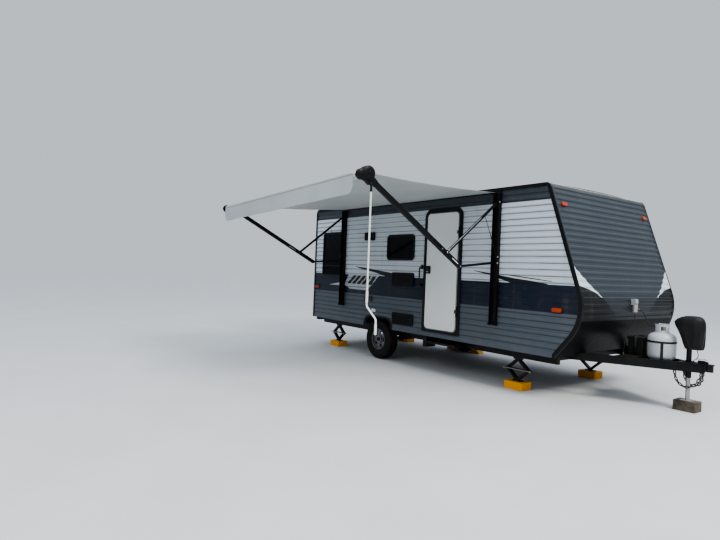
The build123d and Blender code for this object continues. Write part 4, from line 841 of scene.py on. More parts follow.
class Shape:
    """One piece's mesh while it is being made, in the frame's own metres."""

    def __init__(self) -> None:
        """Start an empty mesh."""
        self.mesh = bmesh.new()

    def rings(self, rows: Sequence[Sequence[Vector]], around: bool = True, caps: bool = True) -> "Shape":
        """Skin a run of rings of points.

        Args:
            rows: rings with the same number of points.
            around: join each ring's last point to its first.
            caps: close the first and the last ring.

        Returns:
            The shape itself.
        """
        made = [[self.mesh.verts.new(point) for point in row] for row in rows]
        count = len(made[0])
        for one, two in zip(made, made[1:]):
            for k in range(count if around else count - 1):
                n = (k + 1) % count
                self.mesh.faces.new((one[k], one[n], two[n], two[k]))
        if caps and around:
            self.mesh.faces.new(tuple(reversed(made[0])))
            self.mesh.faces.new(tuple(made[-1]))
        return self

    def lathe(self, centre: Sequence[float], axis: Vector, profile: Sequence[Pair], sides: int = 40,
              caps: bool = True) -> "Shape":
        """Turn a profile about an axis.

        Args:
            centre: point on the axis where the profile's first number is zero.
            axis: direction of the axis.
            profile: rows of (distance along the axis, radius).
            sides: points around.
            caps: close both ends.

        Returns:
            The shape itself.
        """
        axis = axis.normalized()
        one = axis.orthogonal().normalized()
        two = axis.cross(one)
        return self.rings([[Vector(centre) + axis * along + (one * c + two * s) * radius for c, s in circle(sides)]
                           for along, radius in profile], caps=caps)

    def prism(self, outline: Sequence[Vector], depth: Vector) -> "Shape":
        """Closed block from a flat outline pushed along a vector."""
        return self.rings([list(outline), [point + depth for point in outline]])

    def block(self, low: Sequence[float], high: Sequence[float]) -> "Shape":
        """Block between two corners.

        Args:
            low: the corner with the lowest X, Y and Z.
            high: the corner with the highest.

        Returns:
            The shape itself.
        """
        (x0, y0, z0), (x1, y1, z1) = low, high
        outline = [Vector((x, y, z0)) for x, y in ((x0, y0), (x1, y0), (x1, y1), (x0, y1))]
        return self.prism(outline, UP * (z1 - z0))

    def bar(self, start: Vector, end: Vector, wide: float, deep: float, across: Vector) -> "Shape":
        """Block along a line.

        Args:
            start: middle of one end.
            end: middle of the other end.
            wide: size along the across direction.
            deep: size at right angles to both.
            across: direction of the width.

        Returns:
            The shape itself.
        """
        along = (end - start).normalized()
        side = (across - along * across.dot(along)).normalized()
        over = along.cross(side)
        corners = [start + side * (i * wide / 2) + over * (j * deep / 2)
                   for i, j in ((-1, -1), (1, -1), (1, 1), (-1, 1))]
        return self.prism(corners, end - start)

    def tube(self, points: Sequence[Vector], radius: float, sides: int = 12, closed: bool = False) -> "Shape":
        """Round bar through points.

        Args:
            points: points of its middle line.
            radius: its radius.
            sides: points around.
            closed: join its end to its start.

        Returns:
            The shape itself.
        """
        rows = []
        count = len(points)
        normal = None
        for k, point in enumerate(points):
            before = points[k - 1] if k or closed else point
            after = points[(k + 1) % count] if k < count - 1 or closed else point
            along = (after - before).normalized()
            normal = along.orthogonal() if normal is None else normal - along * normal.dot(along)
            normal.normalize()
            other = along.cross(normal)
            rows.append([point + (normal * c + other * s) * radius for c, s in circle(sides)])
        if closed:
            rows.append(rows[0])
        return self.rings(rows, caps=not closed)

    def piece(self, name: str, finish: str, body: str, slot: str | None = None, bevel: float = 0.0,
              thick: float = 0.0) -> bpy.types.Object:
        """Finish the mesh as a piece of the scene.

        Args:
            name: the piece's name.
            finish: name of its finish.
            body: the body that it rides on.
            slot: the record's material slot; not used.
            bevel: width of the rounding on its sharp edges.
            thick: thickness given to an open sheet.

        Returns:
            The object.
        """
        bmesh.ops.remove_doubles(self.mesh, verts=self.mesh.verts, dist=1e-6)
        bmesh.ops.recalc_face_normals(self.mesh, faces=self.mesh.faces)
        data = bpy.data.meshes.new(name)
        self.mesh.to_mesh(data)
        self.mesh.free()
        data.shade_smooth()
        data.set_sharp_from_angle(angle=SHARP)
        data.materials.append(FINISHES[finish].material())
        piece = bpy.data.objects.new(name, data)
        bpy.context.scene.collection.objects.link(piece)
        if thick:
            sheet = piece.modifiers.new("thickness", "SOLIDIFY")
            sheet.thickness, sheet.offset = thick, 0.0
        if bevel:
            rounding = piece.modifiers.new("rounding", "BEVEL")
            rounding.width, rounding.segments = bevel, 2
            rounding.limit_method, rounding.angle_limit = "ANGLE", SHARP
        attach(piece, body)
        log.info("piece %s on %s: %d faces", name, body, len(data.polygons))
        return piece


class Assembly:
    """A sub-assembly: the nodes that each finish goes on, and the pieces that are added."""

    looks: ClassVar[dict[str, tuple[str, ...]]] = {}

    def build(self) -> None:
        """Dress the nodes and add the pieces."""
        for finish, nodes in self.looks.items():
            for node in nodes:
                self.dress(node, finish)
        self.pieces()

    def dress(self, node: str, finish: str) -> None:
        """Give a CAD node's surfaces a finish.

        Args:
            node: the node.
            finish: name of the finish.
        """
        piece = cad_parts[node]
        material = FINISHES[finish].material()
        for place in piece.material_slots:
            place.material = material
        if not piece.material_slots:
            piece.data.materials.append(material)

    def pieces(self) -> None:
        """Add the pieces."""
        raise NotImplementedError


# Camera, floor and light

@dataclass
class Studio:
    """Camera at the photographed angle, pale floor and soft light."""

    eye: Row = (2.544, -6.911, 0.997)
    yaw: float = 143.43
    roll: float = 2.272
    lens: float = 26.96
    sensor: float = 36.0
    floor_half: float = 60.0
    backdrop: Colour = (0.57, 0.61, 0.66)
    low_light: Colour = (0.12, 0.135, 0.15)
    high_light: Colour = (1.20, 1.32, 1.48)
    contrast: str = "AgX - Medium High Contrast"

    def build(self) -> None:
        """Make the camera, the floor and the lights."""
        self.camera()
        self.floor()
        self.light()

    def camera(self) -> None:
        """Place the camera."""
        ahead = Vector((cos(radians(self.yaw)), sin(radians(self.yaw)), 0.0))
        level = ahead.cross(Vector((0, 0, 1)))
        over = level.cross(ahead)
        c, s = cos(radians(self.roll)), sin(radians(self.roll))
        right, top = level * c + over * s, over * c - level * s
        data = bpy.data.cameras.new("camera")
        data.lens, data.sensor_width, data.sensor_fit = self.lens, self.sensor, "HORIZONTAL"
        data.clip_end = 400.0
        data.dof.use_dof = False
        camera = bpy.data.objects.new("camera", data)
        turn = Matrix((right, top, -ahead)).transposed().to_4x4()
        camera.matrix_world = Matrix.Translation(Vector(self.eye)) @ turn
        bpy.context.scene.collection.objects.link(camera)
        bpy.context.scene.camera = camera

    def floor(self) -> None:
        """Lay the floor at the wheels' and blocks' feet."""
        half = self.floor_half
        data = bpy.data.meshes.new("floor")
        data.from_pydata([(-half, -half, GROUND_Z), (half, -half, GROUND_Z), (half, half, GROUND_Z),
                          (-half, half, GROUND_Z)], [], [(0, 1, 2, 3)])
        data.materials.append(FINISHES["stage_floor"].material())
        floor = bpy.data.objects.new("stage_floor", data)
        bpy.context.scene.collection.objects.link(floor)

    def light(self) -> None:
        """Hang two large soft lights in a pale surround."""
        world = bpy.data.worlds.new("surround")
        world.use_nodes = True
        graph = Graph(world.node_tree)
        back = world.node_tree.nodes["Background"]
        level = graph.parts(graph.add("ShaderNodeTexCoord").outputs["Generated"])[2]
        dome = graph.mix(graph.span(level, 0.0, 0.9), self.low_light, self.high_light)
        seen = graph.add("ShaderNodeLightPath").outputs["Is Camera Ray"]
        graph.feed(back.inputs["Color"], graph.mix(seen, dome, self.backdrop))
        bpy.context.scene.world = world
        bpy.context.scene.view_settings.look = self.contrast
        for name, place, size, power, colour in (
                ("key", (7.0, -1.0, 11.0), 5.0, 1500.0, (1.0, 0.98, 0.94)),
                ("fill", (1.0, -13.0, 7.0), 8.0, 360.0, (0.95, 0.97, 1.0))):
            data = bpy.data.lights.new(name, "AREA")
            data.shape, data.size, data.energy, data.color = "DISK", size, power, colour
            lamp = bpy.data.objects.new(name, data)
            lamp.location = place
            lamp.rotation_euler = (Vector((-3.5, -0.5, 0.8)) - Vector(place)).to_track_quat("-Z", "Y").to_euler()
            bpy.context.scene.collection.objects.link(lamp)


# Cords and chains

class Stiffness(Enum):
    """How a cord bends."""

    LIMP = "limp"
    MEDIUM = "medium"


@dataclass
class Cord:
    """A cord along one smooth line through its route's control points."""

    name: str
    node: str
    finish: str
    route: tuple[Row, ...]
    radius: float
    stiffness: Stiffness

    def curve(self, bevel: bool) -> bpy.types.Object:
        """Draw the route as a curve.

        Args:
            bevel: give it its round section.

        Returns:
            The curve object, not yet in the scene.
        """
        data = bpy.data.curves.new(self.name, "CURVE")
        data.dimensions = "3D"
        data.resolution_u = 16
        spline = data.splines.new("NURBS")
        spline.points.add(len(self.route) - 1)
        for point, row in zip(spline.points, self.route):
            point.co = (*spot(row), 1.0)
        spline.order_u = 3
        spline.use_endpoint_u = True
        if bevel:
            data.bevel_depth = self.radius
            data.bevel_resolution = 4
            data.use_fill_caps = True
        return bpy.data.objects.new(self.name, data)

    def line(self) -> list[Vector]:
        """Read the route's own smooth line.

        Returns:
            Its points.
        """
        bare = self.curve(False)
        mesh = bpy.data.meshes.new_from_object(bare)
        points = [vertex.co.copy() for vertex in mesh.vertices]
        bpy.data.meshes.remove(mesh)
        bpy.data.objects.remove(bare)
        return points

    def length(self) -> float:
        """Length of the line."""
        points = self.line()
        return sum((two - one).length for one, two in zip(points, points[1:]))

    def build(self) -> None:
        """Lay the cord."""
        cord = self.curve(True)
        cord.data.materials.append(FINISHES[self.finish].material())
        bpy.context.scene.collection.objects.link(cord)
        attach(cord, TRAILER)
        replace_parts(cord, self.node)
        self.length()
        log.info("cord %s: %.3f m", self.name, self.length())


@dataclass
class Chain(Cord):
    """A chain of welded links along its line."""

    wire: float = 0.0066
    pitch: float = 0.038
    reach: float = 0.0185

    def links(self, shape: Shape) -> None:
        """Add the links to a mesh, every other one turned a quarter.

        Args:
            shape: the mesh.
        """
        points = self.line()
        runs = [0.0]
        for one, two in zip(points, points[1:]):
            runs.append(runs[-1] + (two - one).length)
        count = int(round(runs[-1] / self.pitch))
        bend = self.reach - self.wire
        stretch = self.pitch / 2 + self.wire * 0.4 - self.reach + self.wire
        for k in range(count):
            middle = (k + 0.5) * runs[-1] / count
            index = max(i for i, run in enumerate(runs[:-1]) if run <= middle)
            one, two = points[index], points[index + 1]
            along = (two - one).normalized()
            centre = one.lerp(two, (middle - runs[index]) / (runs[index + 1] - runs[index]))
            side = along.cross(Vector((0, 1, 0.3))).normalized()
            if k % 2:
                side = along.cross(side)
            loop = [centre + side * (bend * s) + along * (bend * c + (stretch if c >= 0 else -stretch))
                    for c, s in circle(16)]
            shape.tube(loop, self.wire, 6, closed=True)

    def build(self) -> None:
        """Hang the chain."""
        shape = Shape()
        self.links(shape)
        piece = shape.piece(self.name, self.finish, TRAILER, "zinc")
        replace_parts(piece, self.node)
        self.length()
        [tuple(point) for point in self.line()]


@dataclass
class Cords(Assembly):
    """The gas lines, the jack's cable and the two safety chains."""

    hose: tuple[Row, ...] = (
        (3813.6, 0.0, 1140.0), (3850.0, 2.0, 1136.0), (3880.0, 6.0, 1110.0), (3900.0, 8.0, 1070.0),
        (3918.0, 8.0, 1025.0), (3944.0, 4.0, 984.0), (3986.0, 0.0, 955.0), (4040.0, -2.0, 941.0),
        (4103.2, 0.0, 938.0))
    line: tuple[Row, ...] = (
        (3785.0, 0.0, 1099.5), (3784.0, -4.0, 1050.0), (3778.0, -18.0, 990.0), (3770.0, -48.0, 925.0),
        (3763.0, -92.0, 860.0), (3758.0, -138.0, 795.0), (3754.0, -172.0, 725.0), (3752.0, -190.0, 650.0),
        (3752.0, -194.0, 571.5))
    cable: tuple[Row, ...] = (
        (4512.0, 0.0, 728.0), (4516.0, 1.0, 704.0), (4526.0, 3.0, 676.0), (4528.0, 4.0, 646.0),
        (4512.0, 3.0, 620.0), (4490.0, 1.0, 606.0), (4478.0, 0.0, 584.0))
    chain: tuple[Row, ...] = (
        (4330.0, 125.0, 465.0), (4333.0, 122.0, 425.0), (4342.0, 117.0, 380.0), (4362.0, 109.0, 335.0),
        (4396.0, 98.0, 300.0), (4440.0, 90.0, 285.0), (4486.0, 86.0, 292.0), (4524.0, 74.0, 318.0),
        (4552.0, 56.0, 358.0), (4570.0, 36.0, 406.0), (4578.0, 17.0, 463.0))
    hose_ferrule: float = 0.0085
    line_ferrule: float = 0.0072

    def pieces(self) -> None:
        """Lay the cords and hang the chains."""
        Cord("gas_hose_run", "gas_hose", "hose_black", self.hose, 0.006, Stiffness.MEDIUM).build()
        Cord("gas_line_run", "gas_line", "hose_black", self.line, 0.005, Stiffness.MEDIUM).build()
        Cord("jack_cable_run", "jack_cable", "cable_grey", self.cable, 0.004, Stiffness.MEDIUM).build()
        self.ferrules()
        for side, name in ((-1, "right"), (1, "left")):
            route = tuple((x, side * y, z) for x, y, z in self.chain)
            Chain(f"safety_chain_{name}", "safety_chains", "chain_grey", route, 0.008, Stiffness.LIMP).build()

    def ferrules(self) -> None:
        """Swage a ferrule on each end of the gas lines."""
        shape = Shape()
        for route, r in ((self.hose, self.hose_ferrule), (self.line, self.line_ferrule)):
            for end, before in ((route[0], route[1]), (route[-1], route[-2])):
                tip = spot(end)
                shape.lathe(tip, spot(before) - tip, [(0.0, r * 0.9), (0.002, r), (0.010, r), (0.011, r * 0.93),
                                                      (0.013, r), (0.022, r), (0.024, r * 0.9)], 18)
        shape.piece("gas_line_ferrules", "brass", TRAILER, "zinc")


# Awning

@dataclass
class ArmSet:
    """One of the awning's two linkages: where it stands and how its arm leans."""

    name: str
    middle: float
    outward: int
    tilt: float
    neck: Pair

    def lane(self, offset: float) -> float:
        """X of a lane, counted from the set's middle toward its outer side in metres."""
        return self.middle + self.outward * offset


@dataclass
class Awning(Assembly):
    """Fabric, valance and the fittings of the arms."""

    looks = {"arm_black": ("awning_channels", "awning_rafters", "awning_links", "awning_arms", "strut_tubes",
                           "strut_rods", "awning_gearbox"),
             "roller_white": ("awning_roller",), "crank_white": ("crank_handle",)}
    sets: tuple[ArmSet, ...] = (ArmSet("front", fore(2480), 1, 31.8, (-0.1042, -0.0049)),
                                ArmSet("rear", fore(-1060), -1, 27.2, (-0.0457, -0.0315)))
    pivot_y: float = -1.205
    top_pivot_z: float = up(2470)
    mid_pivot_z: float = up(1660)
    elbow: Pair = (-2.120, up(1755))
    arm_long: float = 1.480
    arm_tail: float = 0.310
    roller_r: float = 0.050
    cloth_edge: Pair = (-1.1763, 2.107)
    sag: float = 0.035
    across: int = 72
    down: int = 44
    eye_step: Pair = (0.112, -0.100)
    crank_lane: float = 0.085
    slot_highlight_span: Pair = (0.42, 0.80)
    valance_high: float = 0.21
    valance_r: float = 0.09
    cloth_thick: float = 0.0012
    valance_thick: float = 0.0014
    cloth_lap: float = 0.0025
    arm_half: float = 0.021
    low_pivot_z: float = up(1741)
    channel_lanes: Pair = (-0.046, 0.064)
    tube_lane: float = 0.0388
    slot_highlight_lane: float = 0.0206
    slot_highlight_r: float = 0.0052
    slot_highlight_deep: float = 0.0018
    link_y: Pair = (-1.164, -1.1605)
    bracket_y: float = -1.218
    bracket_rows: tuple[Pair, ...] = ((832, 862), (2568, 2590))
    screw_rows: tuple[float, ...] = (900, 1240, 1420, 1980, 2240, 2530)
    elbow_pin: Profile = ((0.0, 0.0110), (0.003, 0.0110), (0.0035, 0.0068), (0.010, 0.0060), (0.012, 0.0033))
    slot_pin: Profile = ((0.0, 0.0085), (0.0014, 0.0085), (0.0025, 0.0060))
    tail_pin: Profile = ((0.0, 0.0095), (0.0014, 0.0095), (0.0025, 0.0070))
    channel_pin: Profile = ((0.0, 0.014), (0.002, 0.014), (0.0025, 0.010), (0.009, 0.009), (0.010, 0.005))
    channel_screw: Profile = ((0.0, 0.008), (0.003, 0.008), (0.006, 0.005))
    hook_stem: Profile = ((0.0, 0.006), (0.003, 0.0115), (0.060, 0.0125), (0.078, 0.0135), (0.092, 0.0125),
                          (0.094, 0.0105))
    head_shell: Profile = (
        (0.0, 0.050), (0.001, 0.068), (0.005, 0.077), (0.013, 0.082), (0.050, 0.083), (0.052, 0.0815), (0.055, 0.0815),
        (0.057, 0.083), (0.089, 0.082), (0.099, 0.077), (0.105, 0.066), (0.107, 0.050), (0.107, 0.022), (0.111, 0.020),
        (0.112, 0.008))
    sleeve: tuple[Row, ...] = ((0.0, 0.056, 0.100), (0.55, 0.055, 0.088), (0.92, 0.052, 0.074), (1.0, 0.046, 0.066))

    def turn(self, arm: ArmSet) -> Pair:
        """Cosine and sine of an arm's tilt."""
        return cos(radians(arm.tilt)), sin(radians(arm.tilt))

    def tail(self, arm: ArmSet) -> Pair:
        """Y and Z of an arm's tail pin."""
        c, s = self.turn(arm)
        return self.elbow[0] + self.arm_tail * c, self.elbow[1] - self.arm_tail * s

    def head(self, arm: ArmSet) -> Pair:
        """Y and Z of an arm's head."""
        c, s = self.turn(arm)
        return self.elbow[0] - self.arm_long * c, self.elbow[1] + self.arm_long * s

    def roller(self, arm: ArmSet) -> Pair:
        """Y and Z of the roller's end at an arm."""
        y, z = self.head(arm)
        return y + arm.neck[0], z + arm.neck[1]

    def between(self, end: Pair, share: float) -> Pair:
        """Y and Z a share of the way from the elbow to a point."""
        return lerp(self.elbow[0], end[0], share), lerp(self.elbow[1], end[1], share)

    def ends(self) -> Pair:
        """X of the cloth's front and rear edges."""
        front, rear = self.sets
        return front.middle - self.arm_half - 0.012, rear.middle + self.arm_half + 0.012

    def pieces(self) -> None:
        """Make the cloth pieces and the fittings."""
        self.cloth()
        self.valance()
        self.end_caps()
        self.head_cover(self.sets[0])
        for arm in self.sets:
            self.pins(arm)
        self.crank_hook(self.sets[0])
        for arm in self.sets:
            self.rafter_tube_and_slot_highlight(arm)
        for arm in self.sets:
            self.channel_plates(arm)

    def cloth(self) -> None:
        """Stretch the cloth from the wall's rail over the roller."""
        front_x, rear_x = self.ends()
        (front_y, front_z), (rear_y, rear_z) = (self.roller(arm) for arm in self.sets)
        wall_y, wall_z = self.cloth_edge
        over = self.roller_r + self.cloth_lap
        rows = []
        for i in range(self.across + 1):
            share = i / self.across
            x = lerp(rear_x, front_x, share)
            roll_y, roll_z = lerp(rear_y, front_y, share), lerp(rear_z, front_z, share)
            edge = min(share, 1 - share)
            row = []
            for j in range(self.down + 1):
                t = j / self.down
                belly = 4 * t * (1 - t)
                z = lerp(wall_z, roll_z + over, t) - self.sag * belly * (0.8 + 0.2 * min(edge * 8, 1.0))
                z += 0.0035 * belly * sin(share * 21.0 + 3.0 * t) * (1 - t)
                row.append(Vector((x, lerp(wall_y, roll_y, t), z)))
            for k in range(1, 9):
                angle = pi / 2 + k * radians(11)
                row.append(Vector((x, roll_y + over * cos(angle), roll_z + over * sin(angle))))
            rows.append(row)
        cloth = Shape().rings(rows, around=False).piece("awning_cloth", "awning_cloth", TRAILER,
                                                        thick=self.cloth_thick)
        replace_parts(cloth, "awning_fabric")
        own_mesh(cloth)

    def valance(self) -> None:
        """Hang the valance from the roller's outer side, with the welt of its seam."""
        front_x, rear_x = self.ends()
        (front_y, front_z), (_, rear_z) = (self.roller(arm) for arm in self.sets)
        hang_y = front_y - self.roller_r - 0.0015
        rows = []
        count, steps = 120, 14
        for i in range(count + 1):
            share = i / count
            x = lerp(rear_x, front_x, share)
            z = lerp(rear_z, front_z, share)
            near = min(x - rear_x, front_x - x)
            high = self.valance_high
            if near < self.valance_r:
                high -= self.valance_r - sqrt(max(self.valance_r ** 2 - (self.valance_r - near) ** 2, 0.0))
            row = []
            for j in range(steps + 1):
                t = j / steps
                wave = 0.004 * t * sin(share * 34.0) + 0.0025 * t * sin(share * 81.0 + 1.0)
                row.append(Vector((x, hang_y + wave - 0.002 * t, z - high * t)))
            rows.append(row)
        valance = Shape().rings(rows, around=False).piece("awning_valance_cloth", "awning_cloth", "arms",
                                                          thick=self.valance_thick)
        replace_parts(valance, "awning_valance")
        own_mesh(valance)
        seam = [Vector((x, hang_y - 0.0005, z - 0.001)) for x, z in ((rear_x, rear_z), (front_x, front_z))]
        Shape().tube(seam, 0.0038, 8).piece("awning_seam_welt", "seam_tape", "arms", "awning_cloth")

    def end_caps(self) -> None:
        """Moulded cap over the gearbox and the plain cap at the rear head."""
        front, rear = self.sets
        for arm, start, long in ((front, 0.065, 0.010), (rear, 0.0215, 0.040)):
            face = ((0.006, 0.050), (0.010, 0.036), (0.011, 0.012), (0.014, 0.011), (0.015, 0.004))
            profile = [(0.0, 0.058), (0.004, 0.0595), (long, 0.058), *((long + along, r) for along, r in face)]
            Shape().lathe((arm.lane(start), *self.roller(arm)), AHEAD * arm.outward, profile, 48).piece(
                f"awning_cap_{arm.name}", "arm_black", "arms", bevel=0.0008)

    def head_cover(self, arm: ArmSet) -> None:
        """Round moulded cover over the front arm's head and gears, and the sleeve from it to the arm.

        Args:
            arm: the front set.
        """
        y, z = self.head(arm)
        Shape().lathe((arm.lane(-0.027), y - 0.010, z + 0.016), AHEAD * arm.outward, self.head_shell, 56).piece(
            "awning_head_cover", "arm_black", "arms", bevel=0.0012)
        start, end = (Vector((arm.lane(0.0), *place)) for place in ((y, z), self.between((y, z), 0.89)))
        along = (end - start).normalized()
        over = Vector((0, -along.z, along.y))
        Shape().rings([[start.lerp(end, share) + AHEAD * u + over * v for u, v in rounded(wide, deep, 0.014, 5)]
                       for share, wide, deep in self.sleeve]).piece("awning_head_sleeve", "arm_black", "arms")

    def crank_hook(self, arm: ArmSet) -> None:
        """Black hook at the crank's top end.

        Args:
            arm: the front set.
        """
        y, z = self.roller(arm)
        eye = Vector((arm.lane(self.crank_lane), y + self.eye_step[0], z + self.eye_step[1] + 0.010))
        loop = [eye + LEFT * (0.0145 * s) + UP * (0.0145 * c) for c, s in circle(20)]
        Shape().lathe(eye, -UP, self.hook_stem, 20).tube(loop, 0.0032, 8, closed=True).piece(
            "crank_hook", "handle_black", "crank", "crank_white")

    def pins(self, arm: ArmSet) -> None:
        """Pin heads of one set: at the elbow, in the arm and in the channel.

        Args:
            arm: the set.
        """
        out = AHEAD * arm.outward
        Shape().lathe((arm.lane(0.038), *self.elbow), out, self.elbow_pin, 24).piece(
            f"awning_elbow_pin_{arm.name}", "chrome", "rafters", "arm_black")
        slot = self.between(self.head(arm), 0.055)
        Shape().lathe((arm.lane(self.arm_half), *slot), out, self.slot_pin, 18).lathe(
            (arm.lane(self.arm_half), *self.tail(arm)), out, self.tail_pin, 18).piece(
            f"awning_arm_knob_{arm.name}", "zinc", "arms", "arm_black", bevel=0.0004)
        shape = Shape()
        for z in (self.top_pivot_z, self.mid_pivot_z, self.low_pivot_z):
            shape.lathe((arm.lane(self.channel_lanes[1]), self.pivot_y, z), out, self.channel_pin, 6)
        shape.piece(f"awning_channel_pins_{arm.name}", "zinc", TRAILER, "arm_black", bevel=0.0005)

    def rafter_tube_and_slot_highlight(self, arm: ArmSet) -> None:
        """Bare inner tube that shows on the outer half of a rafter, and a pale strip in the slot near the arm's tail
        that is a painted highlight for the slot's reflection.

        Args:
            arm: the set.
        """
        start, end = Vector((0, self.pivot_y, self.top_pivot_z)), Vector((0, *self.elbow))
        along = (end - start).normalized()
        over = Vector((0, -along.z, along.y))
        over = over if over.z > 0 else -over
        side = AHEAD * arm.lane(self.tube_lane) + over * 0.010
        shape = Shape()
        for low, high, wide, deep in ((0.34, 0.955, 0.0022, 0.009), (0.948, 0.978, 0.0045, 0.020)):
            shape.bar(start.lerp(end, low) + side, start.lerp(end, high) + side, wide, deep, AHEAD)
        shape.piece(f"awning_rafter_tube_{arm.name}", "zinc", "rafters", "roller_white", bevel=0.0006)
        # Pale strip in the slot near the tail: a painted highlight standing in for the slot's reflection.
        one, two = (Vector((arm.lane(self.slot_highlight_lane), *self.between(self.tail(arm), share)))
                    for share in self.slot_highlight_span)
        along = (two - one).normalized()
        across = Vector((0, -along.z, along.y))
        loop = []
        for centre, direction in ((one, -1), (two, 1)):
            for k in range(9):
                angle = pi * k / 8 - pi / 2
                loop.append(centre + (along * cos(angle) + across * sin(angle)) * self.slot_highlight_r * direction)
        Shape().prism(loop, AHEAD * (arm.outward * self.slot_highlight_deep)).piece(f"awning_slot_painted_highlight_{arm.name}",
                                                                           "roller_white", "arms")

    def channel_plates(self, arm: ArmSet) -> None:
        """Foot and head brackets of a channel, with its screws.

        Args:
            arm: the set.
        """
        shape = Shape()
        middle = sum(arm.lane(lane) for lane in self.channel_lanes) / 2
        face, back = self.link_y
        for low, high in self.bracket_rows:
            shape.block((middle - 0.060, face, up(low)), (middle + 0.060, back, up(high)))
            for side in SIDES:
                cheek = middle + side * 0.0585
                shape.block((cheek - 0.0035, self.bracket_y, up(low)), (cheek + 0.0035, back, up(high)))
        shape.piece(f"awning_brackets_{arm.name}", "arm_black", TRAILER, bevel=0.002)
        shape = Shape()
        for height in self.screw_rows:
            shape.lathe((middle, face, up(height)), -LEFT, self.channel_screw, 6)
        shape.piece(f"awning_channel_screws_{arm.name}", "arm_black", TRAILER)


# Body shell, door and windows

class Side(Enum):
    """The two long walls: the sign of Y on each."""

    DOOR = -1
    ROAD = 1


@dataclass
class Window:
    """A window: its wall, middle, opening and corner radius in millimetres."""

    side: Side
    x: float
    height: float
    wide: float
    high: float
    corner: float = 45.0
    divider: float | None = None


